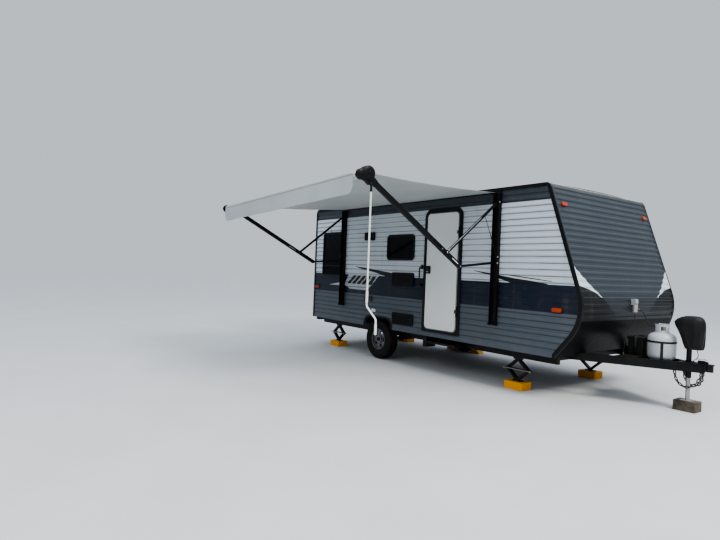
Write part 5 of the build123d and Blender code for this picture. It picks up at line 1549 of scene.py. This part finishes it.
@dataclass
class Shell(Assembly):
    """Walls, roof, trims and the small fittings on them."""

    looks = {"siding": ("side_wall_right", "side_wall_left", "rear_wall"), "front_siding": ("front_wall",),
             "skirt_black": ("front_skirt",), "roof_skin": ("roof",), "floor_deck": ("floor",),
             "frame_dark": ("body_trims", "window_frames", "door_frames"), "vent_black": ("wall_vents",),
             "fitting_white": ("wall_fittings",), "amber": ("amber_lights",), "red": ("red_lights",),
             "glass_dark": ("window_glass",), "hatch_grey": ("baggage_door",), "roof_plastic": ("roof_units",)}
    windows: tuple[Window, ...] = (
        Window(Side.DOOR, 530, 1890, 630, 370), Window(Side.DOOR, -1460, 1780, 610, 790, divider=1560),
        Window(Side.ROAD, -1350, 1800, 900, 560, divider=1640), Window(Side.ROAD, 1950, 1900, 520, 400))
    nose_corners: tuple[Pair, ...] = ((3262, 2667), (3825, 1038), (3405, 531))
    nose_r: float = 0.600
    rail_wide: float = 0.014
    gasket_r: float = 0.0035
    glass_out: float = 1.156
    trim_screw: Profile = ((0.0, 0.0042), (0.0012, 0.0040), (0.0022, 0.0022))
    screw_rows: tuple[int, int, int] = (640, 2560, 150)
    latch: Profile = ((0.0, 0.026), (0.003, 0.026), (0.005, 0.022), (0.0055, 0.014), (0.010, 0.0125), (0.011, 0.006))
    markers: tuple[tuple[float, float, float, float], ...] = ((3430, 1111, 142, 64), (-1955, 1138, 122, 62))

    def pieces(self) -> None:
        """Add the small pieces."""
        for number, window in enumerate(self.windows):
            self.gasket(number, window)
        self.corner_rails()
        self.corner_screws()
        self.hatch_latch()
        self.light_bases()

    def gasket(self, number: int, window: Window) -> None:
        """Rubber bead round a pane, and the rail across a divided one.

        Args:
            number: the window's place in the row.
            window: the window.
        """
        y = window.side.value * (self.glass_out + 0.0015)
        outline = rounded((window.wide - 13) / 1000, (window.high - 13) / 1000, (window.corner - 6) / 1000, 6)
        shape = Shape().tube([Vector((fore(window.x) + u, y, up(window.height) + v)) for u, v in outline],
                             self.gasket_r, 8, closed=True)
        if window.divider:
            half = (window.wide / 2 - 8) / 1000
            shape.block((fore(window.x) - half, y - 0.005, up(window.divider) - 0.011),
                        (fore(window.x) + half, y + 0.005, up(window.divider) + 0.011))
        shape.piece(f"window_gasket_{number}", "handle_black", TRAILER, "frame_dark")

    def nose_line(self) -> list[tuple[Vector, Vector]]:
        """Follow the front outline from the roof's corner to the foot.

        Returns:
            Its points, each with its outward direction.
        """
        roof, nose, foot = (Vector((fore(x), 0, up(z))) for x, z in self.nose_corners)
        down, under = (nose - roof).normalized(), (foot - nose).normalized()
        turn = down.angle(under)
        reach = self.nose_r * sin(turn / 2) / cos(turn / 2)
        start, normal = nose - down * reach, Vector((-down.z, 0, down.x))
        centre = start - normal * self.nose_r
        rows = [(roof.lerp(start, share), normal) for share in (0.045, 0.25, 0.5, 0.75)]
        for k in range(25):
            angle = turn * k / 24
            out = normal * cos(angle) + down * sin(angle)
            rows.append((centre + out * self.nose_r, out))
        last = rows[-1]
        rows.append((foot.lerp(last[0], 0.04), last[1]))
        return rows

    def corner_rails(self) -> None:
        """Thin rail down each front corner, over the ends of the ribs."""
        shape = Shape()
        for side in SIDES:
            inner, outer = side * (HALF_WIDTH - self.rail_wide), side * (HALF_WIDTH + 0.0045)
            section = ((inner, -0.004), (outer, -0.004), (outer, 0.0035), (inner, 0.0035))
            shape.rings([[LEFT * y + point + out * lift for y, lift in section] for point, out in self.nose_line()])
        shape.piece("front_corner_rails", "frame_dark", TRAILER, bevel=0.0008)

    def corner_screws(self) -> None:
        """Screw heads along the rear corner trims."""
        shape = Shape()
        for side in SIDES:
            for height in range(*self.screw_rows):
                shape.lathe((REAR_X + 0.018, side * (HALF_WIDTH + 0.0038), up(height)), LEFT * side,
                            self.trim_screw, 10)
        shape.piece("corner_trim_screws", "zinc", TRAILER, "frame_dark")

    def hatch_latch(self) -> None:
        """Two thumb latches on the baggage door."""
        low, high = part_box("baggage_door")
        shape = Shape()
        for share in (0.22, 0.78):
            x, y, z = lerp(low.x, high.x, share), high.y - 0.0005, low.z + 0.075
            shape.lathe((x, y, z), LEFT, self.latch, 28)
            shape.block((x - 0.004, y + 0.004, z - 0.017), (x + 0.004, y + 0.0135, z + 0.017))
        shape.piece("baggage_door_latches", "chrome", "hatch", "handle_black", bevel=0.0008)

    def light_bases(self) -> None:
        """Black base under each side marker and tail light."""
        shape = Shape()
        for side in SIDES:
            for x, height, wide, high in self.markers:
                outline = rounded(wide / 1000, high / 1000, 0.018, 4)
                shape.prism([Vector((fore(x) + u, side * HALF_WIDTH * 0.9985, up(height) + v)) for u, v in outline],
                            LEFT * (side * 0.0070))
        shape.piece("marker_light_bases", "handle_black", TRAILER, "frame_dark", bevel=0.001)


@dataclass
class Doorway(Assembly):
    """The entry door's own details, the grab handle and the folding step."""

    looks = {"door_white": ("entry_door",), "handle_black": ("grab_handle",),
             "frame_black": ("entry_step", "step_housing")}
    x: float = 1479.0
    height: float = 1522.0
    wide: float = 658.0
    high: float = 1758.0
    corner: float = 70.0
    face_y: float = -1.173
    plate_y: float = -1.189
    lock: Row = (1210.0, 0.0, 1542.0)
    tread_rows: int = 9
    frame_low: Pair = (-3.5510, 0.1058)
    frame_high: Pair = (-2.7910, 1.9382)
    frame_r: float = 0.110
    trim_top: float = up(2462.0)
    trim_y: float = -1.1695
    trim_back_y: float = -1.1600
    trim_r: Pair = (0.010, 0.125)
    seal_inset: float = 6.0
    seal_r: float = 0.0045
    paddle: tuple[Row, ...] = ((0.092, 0.112, 0.0), (0.090, 0.110, 0.003), (0.082, 0.102, 0.004), (0.078, 0.098, 0.001))
    bolt: Profile = ((0.0, 0.0105), (0.004, 0.0105), (0.0055, 0.009), (0.0056, 0.0025))
    key_plug: Profile = ((0.0, 0.0075), (0.003, 0.0075), (0.0045, 0.005))
    handle_foot: Profile = ((0.0, 0.031), (0.004, 0.031), (0.007, 0.026), (0.012, 0.018))
    tread_y: Pair = (-1.136, -0.945)
    tread_z: Pair = (up(457.6), up(459.6))
    tread_half: float = 0.285

    def pieces(self) -> None:
        """Add the details."""
        self.edge_bead()
        self.outer_trim()
        self.door_lock()
        self.handle_feet()
        self.tread()

    def edge_bead(self) -> None:
        """Black seal round the door's edge."""
        inset = self.seal_inset
        outline = rounded((self.wide - 2 * inset) / 1000, (self.high - 2 * inset) / 1000,
                          (self.corner - inset * 0.6) / 1000, 8)
        Shape().tube([Vector((fore(self.x) + u, self.face_y - 0.0005, up(self.height) + v)) for u, v in outline],
                     self.seal_r, 8, closed=True).piece("entry_door_seal", "handle_black", "door", "frame_dark")

    def outer_trim(self) -> None:
        """Flat black trim around the door's frame, square below and reaching the dark band above."""
        low, high = self.frame_low, self.frame_high
        lap = 0.004
        wide, tall = high[0] - low[0] - 2 * lap, high[1] - low[1] - 2 * lap
        middle = ((low[0] + high[0]) / 2, (low[1] + high[1]) / 2)
        inner = [(middle[0] + u, middle[1] + v) for u, v in rounded(wide, tall, self.frame_r - lap, 8)]
        left, right = low[0] - 0.002, high[0] + 0.014
        bottom, top = low[1] - 0.002, self.trim_top
        foot_r, head_r = self.trim_r
        outer = []
        for turn, (x, z, radius) in enumerate(((right, top, head_r), (left, top, head_r), (left, bottom, foot_r),
                                               (right, bottom, foot_r))):
            i, j = (1, -1)[x == left], (1, -1)[z == bottom]
            for k in range(9):
                angle = pi / 2 * (turn + k / 8)
                outer.append((x - i * radius + radius * cos(angle), z - j * radius + radius * sin(angle)))
        back, face = self.trim_back_y, self.trim_y
        rings = [[Vector((x, y, z)) for (x, z), y in ((a, back), (a, face), (b, face), (b, back))]
                 for a, b in zip(inner, outer)]
        Shape().rings(rings + [rings[0]], caps=False).piece("entry_door_trim", "handle_black", TRAILER, "frame_dark",
                                                            bevel=0.0015)

    def door_lock(self) -> None:
        """Recessed paddle lock with its bolt knob."""
        x, z = fore(self.lock[0]), up(self.lock[2])
        Shape().rings([[Vector((x + u, self.plate_y - out, z + v)) for u, v in rounded(wide, high, 0.013, 5)]
                       for wide, high, out in self.paddle]).piece("entry_door_lock", "handle_black", "door",
                                                                  bevel=0.0006)
        Shape().lathe((x + 0.004, self.plate_y, z - 0.030), -LEFT, self.bolt, 22).lathe(
            (x - 0.026, self.plate_y, z - 0.030), -LEFT, self.key_plug, 18).piece(
            "entry_door_paddle", "chrome", "door", "handle_black")

    def handle_feet(self) -> None:
        """Screwed feet of the grab handle."""
        low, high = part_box("grab_handle")
        shape = Shape()
        for z in (low.z + 0.012, high.z - 0.012):
            shape.lathe(((low.x + high.x) / 2, -HALF_WIDTH - 0.0002, z), -LEFT, self.handle_foot, 28)
        shape.piece("grab_handle_feet", "handle_black", TRAILER, bevel=0.001)

    def tread(self) -> None:
        """Raised grip strips on the step."""
        shape = Shape()
        for k in range(self.tread_rows):
            y = lerp(*self.tread_y, k / (self.tread_rows - 1))
            shape.block((fore(self.x) - self.tread_half, y - 0.0035, self.tread_z[0]),
                        (fore(self.x) + self.tread_half, y + 0.0035, self.tread_z[1]))
        shape.piece("entry_step_grip", "handle_black", "step", "frame_black", bevel=0.0006)


# Tongue: gas bottle, battery, jack and coupler

@dataclass
class GasBottle(Assembly):
    """Steel gas bottle with its foot ring, guard collar and valve."""

    centre: Pair = (fore(4120), 0.0)
    foot_z: float = up(535)
    profile: tuple[Pair, ...] = (
        (0.030, 0.060), (0.024, 0.110), (0.028, 0.130), (0.040, 0.146), (0.062, 0.1560), (0.085, 0.1585),
        (0.196, 0.1585), (0.198, 0.1600), (0.206, 0.1600), (0.208, 0.1585), (0.258, 0.1585), (0.282, 0.1560),
        (0.304, 0.1480), (0.322, 0.1330), (0.336, 0.1120), (0.346, 0.0850), (0.352, 0.0550), (0.354, 0.0260),
        (0.354, 0.0))
    collar_r: float = 0.0810
    collar_z: Pair = (0.334, 0.451)
    gap_half: float = 38.0
    collar_grid: tuple[int, int] = (96, 12)
    collar_thick: float = 0.0028
    foot_ring: Profile = ((0.0, 0.1160), (0.0, 0.1195), (0.034, 0.1215), (0.034, 0.1175), (0.0, 0.1160))
    stem: Profile = ((0.0, 0.020), (0.010, 0.020), (0.012, 0.0135), (0.082, 0.0135), (0.084, 0.010), (0.092, 0.010))
    outlet: Profile = ((0.0, 0.0095), (0.020, 0.0095), (0.021, 0.012), (0.031, 0.012))
    hand_wheel: Profile = ((0.0, 0.010), (0.002, 0.0225), (0.006, 0.0240), (0.010, 0.0225), (0.012, 0.009))

    def pieces(self) -> None:
        """Make the shell, the rings, the collar and the valve."""
        base = Vector((*self.centre, self.foot_z))
        shape = Shape().lathe(base, UP, self.profile, 72, caps=False).lathe(base, UP, self.foot_ring, 72, caps=False)
        self.collar(shape, base)
        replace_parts(shape.piece("gas_bottle_shell", "bottle_white", TRAILER), "gas_bottle")
        Shape().lathe(base + UP * 0.350, UP, self.stem, 28).lathe(base + UP * 0.403, -AHEAD, self.outlet, 24).piece(
            "gas_bottle_valve", "brass", TRAILER, "zinc", bevel=0.0006)
        rows = []
        for along, radius in self.hand_wheel:
            reach = [radius + (0.0014 if k % 4 < 2 and radius > 0.02 else 0.0) for k in range(48)]
            rows.append([base + Vector((r * c, r * s, 0.439 + along)) for r, (c, s) in zip(reach, circle(48))])
        Shape().rings(rows).piece("gas_bottle_wheel", "handle_black", TRAILER)

    def collar(self, shape: Shape, base: Vector) -> None:
        """Add the guard collar, open toward the wall, with a hand hole at each side.

        Args:
            shape: the bottle's mesh.
            base: middle of the bottle's foot.
        """
        steps, rows = self.collar_grid

        def point(k: int, j: int, radius: float) -> Vector:
            """Point of the collar's grid at one of its two faces.

            Args:
                k: step around.
                j: row up.
                radius: the face's radius.

            Returns:
                The point.
            """
            angle = radians(180 + self.gap_half + (360 - 2 * self.gap_half) * k / steps)
            reach = radius + (0.004 if j == rows else 0.0) - 0.004 * (1 - j / rows)
            return base + Vector((reach * cos(angle), reach * sin(angle), lerp(*self.collar_z, j / rows)))

        def kept(k: int, j: int) -> bool:
            """Whether a cell of the grid is metal."""
            share = (k + 0.5) / steps
            return not (min(abs(share - 0.30), abs(share - 0.70)) < 0.075 and 4 <= j <= 8)

        outer, inner = ([[shape.mesh.verts.new(point(k, j, radius)) for j in range(rows + 1)]
                         for k in range(steps + 1)] for radius in (self.collar_r, self.collar_r - self.collar_thick))
        edges: dict[tuple[int, ...], int] = {}
        for k in range(steps):
            for j in range(rows):
                if not kept(k, j):
                    continue
                cell = ((k, j), (k + 1, j), (k + 1, j + 1), (k, j + 1))
                shape.mesh.faces.new([outer[a][b] for a, b in cell])
                shape.mesh.faces.new([inner[a][b] for a, b in reversed(cell)])
                for one, two in zip(cell, cell[1:] + cell[:1]):
                    key = (*min(one, two), *max(one, two))
                    edges[key] = edges.get(key, 0) + 1
        for (a, b, c, d), uses in edges.items():
            if uses == 1:
                shape.mesh.faces.new((outer[a][b], outer[c][d], inner[c][d], inner[a][b]))
        bmesh.ops.delete(shape.mesh, geom=[v for v in shape.mesh.verts if not v.link_faces], context="VERTS")


@dataclass
class JackCover(Assembly):
    """Cloth bag drawn over the jack's head: rows of height, rear and front edge, half width in millimetres."""

    rows: tuple[tuple[float, float, float, float], ...] = (
        (722.0, 4408.0, 4560.0, 58.0), (734.0, 4390.0, 4578.0, 70.0), (770.0, 4372.0, 4584.0, 75.0),
        (860.0, 4340.0, 4587.0, 80.0), (935.0, 4306.0, 4591.0, 84.0), (995.0, 4272.0, 4592.0, 86.0),
        (1035.0, 4262.0, 4589.0, 84.0), (1068.0, 4292.0, 4579.0, 76.0), (1094.0, 4338.0, 4562.0, 63.0),
        (1110.0, 4392.0, 4534.0, 42.0), (1113.5, 4446.0, 4498.0, 14.0))
    around: int = 96
    between: int = 5
    hem_height: float = 731.0
    toggle: Profile = ((0.0, 0.008), (0.004, 0.010), (0.018, 0.010), (0.022, 0.007))

    def pieces(self) -> None:
        """Make the bag with its folds, and the elastic cord in the hem with its toggle."""
        random = Random(5)
        phases = [random.uniform(0, 2 * pi) for _ in range(5)]
        foot, span = self.rows[0][0], self.rows[-1][0] - self.rows[0][0] - 0.5
        rings = []
        for index in range((len(self.rows) - 1) * self.between + 1):
            base, part = divmod(index, self.between)
            one, two = self.rows[base], self.rows[min(base + 1, len(self.rows) - 1)]
            height, rear, front, half = (lerp(a, b, part / self.between) for a, b in zip(one, two))
            level = (height - foot) / span
            gather = max(0.0, 1 - level * 3.2)
            ring = []
            for k, (c, s) in enumerate(circle(self.around)):
                angle = 2 * pi * k / self.around
                fold = gather * 0.045 * sin(19 * angle + phases[0])
                fold += 0.034 * sin(5 * angle + phases[1] + 3.5 * level) * (1 - 0.6 * level)
                fold += 0.026 * sin(11 * angle + phases[2] - 4.0 * level) * (1 - 0.7 * level)
                fold += 0.014 * sin(3 * angle + phases[3]) * sin(9 * level)
                sag = 1.5 * sin(2 * angle + phases[4]) * sin(pi * level)
                ring.append(spot(((rear + front) / 2 + (front - rear) / 2 * self.squared(c) * (1 + fold),
                                  half * self.squared(s) * (1 + fold), height + sag)))
            rings.append(ring)
        cover = Shape().rings(rings).piece("jack_cover_bag", "cover_cloth", TRAILER)
        smooth = cover.modifiers.new("smooth", "SUBSURF")
        smooth.levels = smooth.render_levels = 1
        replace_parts(cover, "jack_cover")
        loop = [spot((4480 + 96 * self.squared(c), 68 * self.squared(s),
                      self.hem_height + 2.5 * sin(7 * 2 * pi * k / 60))) for k, (c, s) in enumerate(circle(60))]
        Shape().tube(loop, 0.0035, 8, closed=True).lathe(spot((4478, -70, self.hem_height)), -LEFT, self.toggle,
                                                         16).piece("jack_cover_cord", "strap_black", TRAILER,
                                                                   "cover_cloth")

    def squared(self, value: float) -> float:
        """A circle's cosine or sine drawn out toward a rounded square."""
        return abs(value) ** 0.72 * (1 if value >= 0 else -1)


@dataclass
class Tongue(Assembly):
    """The A-frame's parts ahead of the body."""

    looks = {"frame_black": ("tongue_rails", "tongue_plates", "coupler", "jack_tube"),
             "jack_foot_steel": ("jack_leg",), "timber": ("wood_block",), "box_plastic": ("battery_box",),
             "strap_black": ("bottle_strap",), "regulator_grey": ("gas_regulator",)}
    jack_x: float = 4430.0
    collar: Pair = (25.0, 32.0)
    collar_low: float = 388.0
    collar_high: float = 450.0
    strap_half: float = 0.019
    lever: tuple[Pair, ...] = ((-0.150, 0.004), (-0.060, 0.020), (-0.022, 0.010))
    lever_pin: Profile = ((0.0, 0.006), (0.001, 0.007), (0.051, 0.007), (0.052, 0.006))
    vent_cap: Profile = ((0.0, 0.030), (0.004, 0.030), (0.007, 0.026), (0.008, 0.014), (0.013, 0.013), (0.014, 0.005))
    gas_nut: Profile = ((0.0, 0.012), (0.001, 0.0135), (0.010, 0.0135), (0.011, 0.012))
    plate_bolt: Profile = ((0.0, 0.0125), (0.0015, 0.0125), (0.0018, 0.0095), (0.0075, 0.0095), (0.0085, 0.008))

    def pieces(self) -> None:
        """Make the pieces on the tongue."""
        GasBottle().build()
        JackCover().build()
        self.battery_strap()
        self.latch()
        self.regulator()
        self.plate_bolts()
        self.jack_collar()

    def jack_collar(self) -> None:
        """Black sleeve around the jack's leg below the frame."""
        inner, outer = self.collar
        profile = ((self.collar_low, inner), (self.collar_low, outer - 1.0), (self.collar_low + 2.0, outer),
                   (self.collar_high, outer), (self.collar_high, inner))
        rings = [[spot((self.jack_x + radius * c, radius * s, height)) for c, s in circle(40)]
                 for height, radius in profile]
        Shape().rings(rings + [rings[0]], caps=False).piece("jack_collar", "frame_black", TRAILER)

    def battery_strap(self) -> None:
        """Webbing over the battery box, with its buckle and the lid's vents."""
        low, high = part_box("battery_box")
        x, y = (low.x + high.x) / 2, (low.y + high.y) / 2
        outline = [(low.y - 0.002, low.z + 0.01), (low.y - 0.002, high.z - 0.004), (low.y + 0.004, high.z + 0.0018),
                   (high.y - 0.004, high.z + 0.0018), (high.y + 0.002, high.z - 0.004), (high.y + 0.002, low.z + 0.01)]
        Shape().rings([[Vector((x + side * self.strap_half, v, z)) for v, z in outline] for side in SIDES],
                      around=False).piece("battery_strap", "strap_black", TRAILER, thick=0.0022)
        shape = Shape().block((x - 0.026, y - 0.020, high.z + 0.0018), (x + 0.026, y + 0.020, high.z + 0.011))
        for k in range(5):
            v = low.y + 0.035 + 0.012 * k
            for edge in (-0.060, 0.030):
                shape.block((x + edge, v, high.z - 0.001), (x + edge + 0.030, v + 0.005, high.z + 0.003))
        shape.piece("battery_buckle", "box_plastic", TRAILER, bevel=0.0015)

    def latch(self) -> None:
        """Coupler's hold-down latch lever, with its pin."""
        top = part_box("coupler")[1].z
        tail, bend, tip = (Vector((x, 0, top + rise)) for x, rise in self.lever)
        Shape().bar(tail, bend, 0.030, 0.008, LEFT).bar(bend, tip, 0.026, 0.007, LEFT).piece(
            "coupler_latch", "zinc", TRAILER, "frame_black", bevel=0.0022)
        Shape().lathe((-0.110, -0.026, top + 0.010), LEFT, self.lever_pin, 16).piece(
            "coupler_latch_pin", "chrome", TRAILER, "zinc")

    def regulator(self) -> None:
        """Vent cap and hex fittings of the gas regulator."""
        low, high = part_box("gas_regulator")
        Shape().lathe((high.x - 0.012, 0.0, up(1228)), AHEAD, self.vent_cap, 32).piece(
            "regulator_cap", "regulator_grey", TRAILER, bevel=0.0006)
        shape = Shape()
        for z in (up(1100), up(1192)):
            shape.lathe(((low.x + high.x) / 2 + 0.014, 0, z - 0.010), UP, self.gas_nut, 6)
        shape.piece("regulator_nuts", "brass", TRAILER, "zinc", bevel=0.0005)

    def plate_bolts(self) -> None:
        """Bolt heads on the tongue's plate."""
        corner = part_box("tongue_plates")[1]
        shape = Shape()
        for x in (corner.x - 0.05, corner.x - 0.16):
            for y in (-0.045, 0.045):
                shape.lathe((x, y, corner.z - 0.0005), UP, self.plate_bolt, 6)
        shape.piece("tongue_plate_bolts", "zinc", TRAILER, bevel=0.0004)


# Running gear

@dataclass
class Wheel(Assembly):
    """Tyre with its tread, and the rim's cap, nuts and valve."""

    side: Side
    track_half: float = 1.050
    axle_z: float = up(331.5)
    nut_circle: float = 0.060
    rows: tuple[Pair, ...] = (
        (-0.0780, 0.1790), (-0.0880, 0.1830), (-0.0965, 0.1960), (-0.1010, 0.2150), (-0.1025, 0.2350),
        (-0.1025, 0.2520), (-0.1014, 0.2535), (-0.1014, 0.2570), (-0.1025, 0.2585), (-0.1022, 0.2740),
        (-0.1000, 0.2900), (-0.0955, 0.3040), (-0.0905, 0.3145), (-0.0850, 0.3215), (-0.0780, 0.3268),
        (-0.0700, 0.3290), (-0.0480, 0.3308), (-0.0465, 0.3235), (-0.0395, 0.3235), (-0.0380, 0.3311),
        (-0.0180, 0.3315), (-0.0165, 0.3240), (-0.0095, 0.3240), (-0.0080, 0.3315))
    sides: int = 144
    cap: Profile = ((0.0, 0.0335), (0.004, 0.0350), (0.010, 0.0340), (0.016, 0.0290), (0.020, 0.0180), (0.021, 0.0))
    nut: Profile = ((0.0, 0.0125), (0.002, 0.0125), (0.0025, 0.0105), (0.018, 0.0105), (0.022, 0.0085), (0.024, 0.003))
    valve: Profile = ((0.0, 0.0055), (0.012, 0.0055), (0.014, 0.0040), (0.030, 0.0040), (0.031, 0.0030))
    lip_r: float = 0.1745
    valve_r: float = 0.152

    def pieces(self) -> None:
        """Make the tyre and the rim's small parts."""
        name = "right" if self.side is Side.DOOR else "left"
        self.dress(f"rim_{name}", "rim_silver")
        centre = Vector((-AXLE_BACK, self.side.value * self.track_half, self.axle_z))
        rings = []
        for along, radius in self.rows + tuple((-along, radius) for along, radius in reversed(self.rows)):
            ring = []
            for k, (c, s) in enumerate(circle(self.sides)):
                less = 0.0
                if 0.312 < radius < 0.3312 and abs(along) > 0.048 and k % 6 == 0:
                    less = 0.0065
                if radius > 0.3300 and abs(along) < 0.046 and (k + (3 if abs(along) < 0.02 else 0)) % 9 == 0:
                    less = 0.0045
                ring.append(centre + Vector((c * (radius - less), along, s * (radius - less))))
            rings.append(ring)
        tyre = Shape().rings(rings + [rings[0]], caps=False).piece(f"tyre_{name}_tread", "tyre_rubber",
                                                                   f"wheel_{name}")
        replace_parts(tyre, f"tyre_{name}")
        self.small_parts(centre, name)

    def spoke(self, angle: float) -> Vector:
        """Direction from the wheel's middle at an angle."""
        return Vector((cos(angle), 0, sin(angle)))

    def small_parts(self, centre: Vector, name: str) -> None:
        """Centre cap, wheel nuts, rim lip and valve.

        Args:
            centre: the wheel's middle.
            name: its side in the pieces' names.
        """
        out, body = LEFT * self.side.value, f"wheel_{name}"
        Shape().lathe(centre + out * 0.071, out, self.cap, 40, caps=False).piece(
            f"wheel_cap_{name}", "vent_black", body, "rim_silver")
        shape = Shape()
        for k in range(5):
            place = centre + self.spoke(radians(90 + 36 + 72 * k)) * self.nut_circle
            shape.lathe(place + out * 0.0455, out, self.nut, 6)
        shape.piece(f"wheel_nuts_{name}", "chrome", body, "rim_silver", bevel=0.0006)
        lip = [centre + out * 0.0795 + Vector((c, 0, s)) * self.lip_r for c, s in circle(96)]
        spoke = self.spoke(radians(62))
        Shape().tube(lip, 0.0042, 10, closed=True).lathe(
            centre + spoke * self.valve_r + out * 0.045, out + spoke * 0.15, self.valve, 14).piece(
            f"wheel_lip_{name}", "rim_silver", body)


@dataclass
class Chassis(Assembly):
    """Frame, axle, stabilizers and levelling blocks."""

    looks = {"frame_black": ("frame_rails", "cross_members", "rear_bumper", "axle_beam", "leaf_springs",
                             "stabilizers"), "block_orange": ("levelling_blocks",)}
    block_rows: tuple[Pair, ...] = ((2700.0, -0.8850), (2700.0, 0.8850), (-1530.0, -0.8850),
                                                   (-1530.0, 0.8850))
    block: Row = (0.280, 0.220, 0.100)
    screw_nut: Profile = ((0.0, 0.012), (0.002, 0.014), (0.015, 0.014), (0.017, 0.012))
    spring_bolt: Profile = ((0.0, 0.006), (0.001, 0.007), (0.085, 0.007), (0.086, 0.006))

    def pieces(self) -> None:
        """Add the wheels and the small parts."""
        for side in Side:
            Wheel(side).build()
        self.block_ribs()
        self.spring_bolts()
        self.stabilizer_screws()

    def stabilizer_screws(self) -> None:
        """Threaded rod across each scissor stabilizer, with the nut at its rear end and the crank's nut ahead."""
        low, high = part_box("stabilizers")
        middle = (high.z + GROUND_Z + self.block[2]) / 2
        thread = [(-0.205 + 0.410 * k / 80, 0.0066 if k % 2 else 0.0056) for k in range(81)]
        shape = Shape()
        for x, y in self.block_rows:
            edge = high.y + 0.007 if y > 0 else low.y - 0.007
            shape.lathe((fore(x), edge, middle), AHEAD, thread, 10)
            for end in (-0.215, 0.198):
                shape.lathe((fore(x) + end, edge, middle), AHEAD, self.screw_nut, 6)
        shape.piece("stabilizer_screws", "zinc", TRAILER)

    def block_ribs(self) -> None:
        """Upright ribs round each levelling block."""
        long, wide, high = self.block
        low_z, high_z = GROUND_Z + 0.006, GROUND_Z + high - 0.012
        shape = Shape()
        for x, y in self.block_rows:
            for k in range(9):
                dx = fore(x) + lerp(-long / 2 + 0.02, long / 2 - 0.02, k / 8)
                for side in SIDES:
                    one, two = sorted(y + side * (wide / 2 - 0.001 + step) for step in (0.0, 0.005))
                    shape.block((dx - 0.004, one, low_z), (dx + 0.004, two, high_z))
            for k in range(7):
                dy = y + lerp(-wide / 2 + 0.02, wide / 2 - 0.02, k / 6)
                for side in SIDES:
                    one, two = sorted(fore(x) + side * (long / 2 - 0.001 + step) for step in (0.0, 0.005))
                    shape.block((one, dy - 0.004, low_z), (two, dy + 0.004, high_z))
        shape.piece("levelling_block_ribs", "block_orange", TRAILER, bevel=0.0012)

    def spring_bolts(self) -> None:
        """Clamp bolts of the leaf springs."""
        low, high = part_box("leaf_springs")
        shape = Shape()
        for y in (low.y + 0.0225, high.y - 0.0225):
            for dx in (-0.045, 0.045):
                for dy in (-0.030, 0.030):
                    shape.lathe((-AXLE_BACK + dx, y + dy, low.z - 0.004), UP, self.spring_bolt, 12)
        shape.piece("spring_clamp_bolts", "zinc", TRAILER, "frame_black")


# Roof

@dataclass(frozen=True)
class RoofUnit:
    """A moulded unit on the roof: middle and size in millimetres, and how far its sides lean."""

    x: float
    y: float
    long: float
    wide: float
    high: float
    lean: float


@dataclass
class Roof(Assembly):
    """Grilles of the cooling unit and lids of the vents."""

    cooler: RoofUnit = RoofUnit(-350, 0, 760, 680, 310, 22)
    vents: tuple[RoofUnit, ...] = (RoofUnit(1750, 0, 410, 410, 90, 12), RoofUnit(-1450, 0, 410, 410, 90, 12))
    crown: float = 0.022
    top_z: float = up(2667)
    louvres: int = 7
    lid: tuple[Pair, ...] = ((0.0, 0.012), (0.014, 0.016), (0.022, 0.008), (0.030, -0.040), (0.032, -0.10))

    def pieces(self) -> None:
        """Add the grilles and the lids."""
        unit = self.cooler
        base = self.top_z + self.crown * 0.7
        slope = radians(unit.lean)
        shape = Shape()
        for side in (*SIDES, 0):
            for k in range(self.louvres):
                rise = 0.075 + 0.024 * k
                reach = (unit.wide if side else unit.long) / 2000 - rise * sin(slope) / cos(slope) + 0.003
                half = (0.20 if side else 0.19) - 0.008 * k
                middle = Vector((fore(unit.x) - 0.02, side * reach, base + rise) if side else
                                (fore(unit.x) - reach, 0, base + rise))
                run, across = (AHEAD, LEFT) if side else (LEFT, AHEAD)
                shape.bar(middle - run * half, middle + run * half, 0.010, 0.010, across)
        shape.piece("cooler_grilles", "vent_black", TRAILER, "roof_plastic", bevel=0.002)
        for number, vent in enumerate(self.vents):
            top = self.top_z + self.crown + vent.high / 1000 - 0.006
            rows = []
            for rise, grow in self.lid:
                outline = rounded(vent.long / 1000 - 0.02 + 2 * grow, vent.wide / 1000 - 0.02 + 2 * grow, 0.045, 5)
                rows.append([Vector((fore(vent.x) + u, vent.y / 1000 + v, top + rise)) for u, v in outline])
            Shape().rings(rows).piece(f"roof_vent_lid_{number}", "roof_plastic", TRAILER)


def main() -> None:
    """Build the scene, piece by piece."""
    logging.basicConfig(level=logging.INFO, format="%(name)s: %(message)s")
    for part in (Studio(), Cords(), Shell(), Doorway(), Tongue(), Chassis(), Roof(), Awning()):
        log.info("building %s", type(part).__name__)
        part.build()


if __name__ == "__main__":
    main()
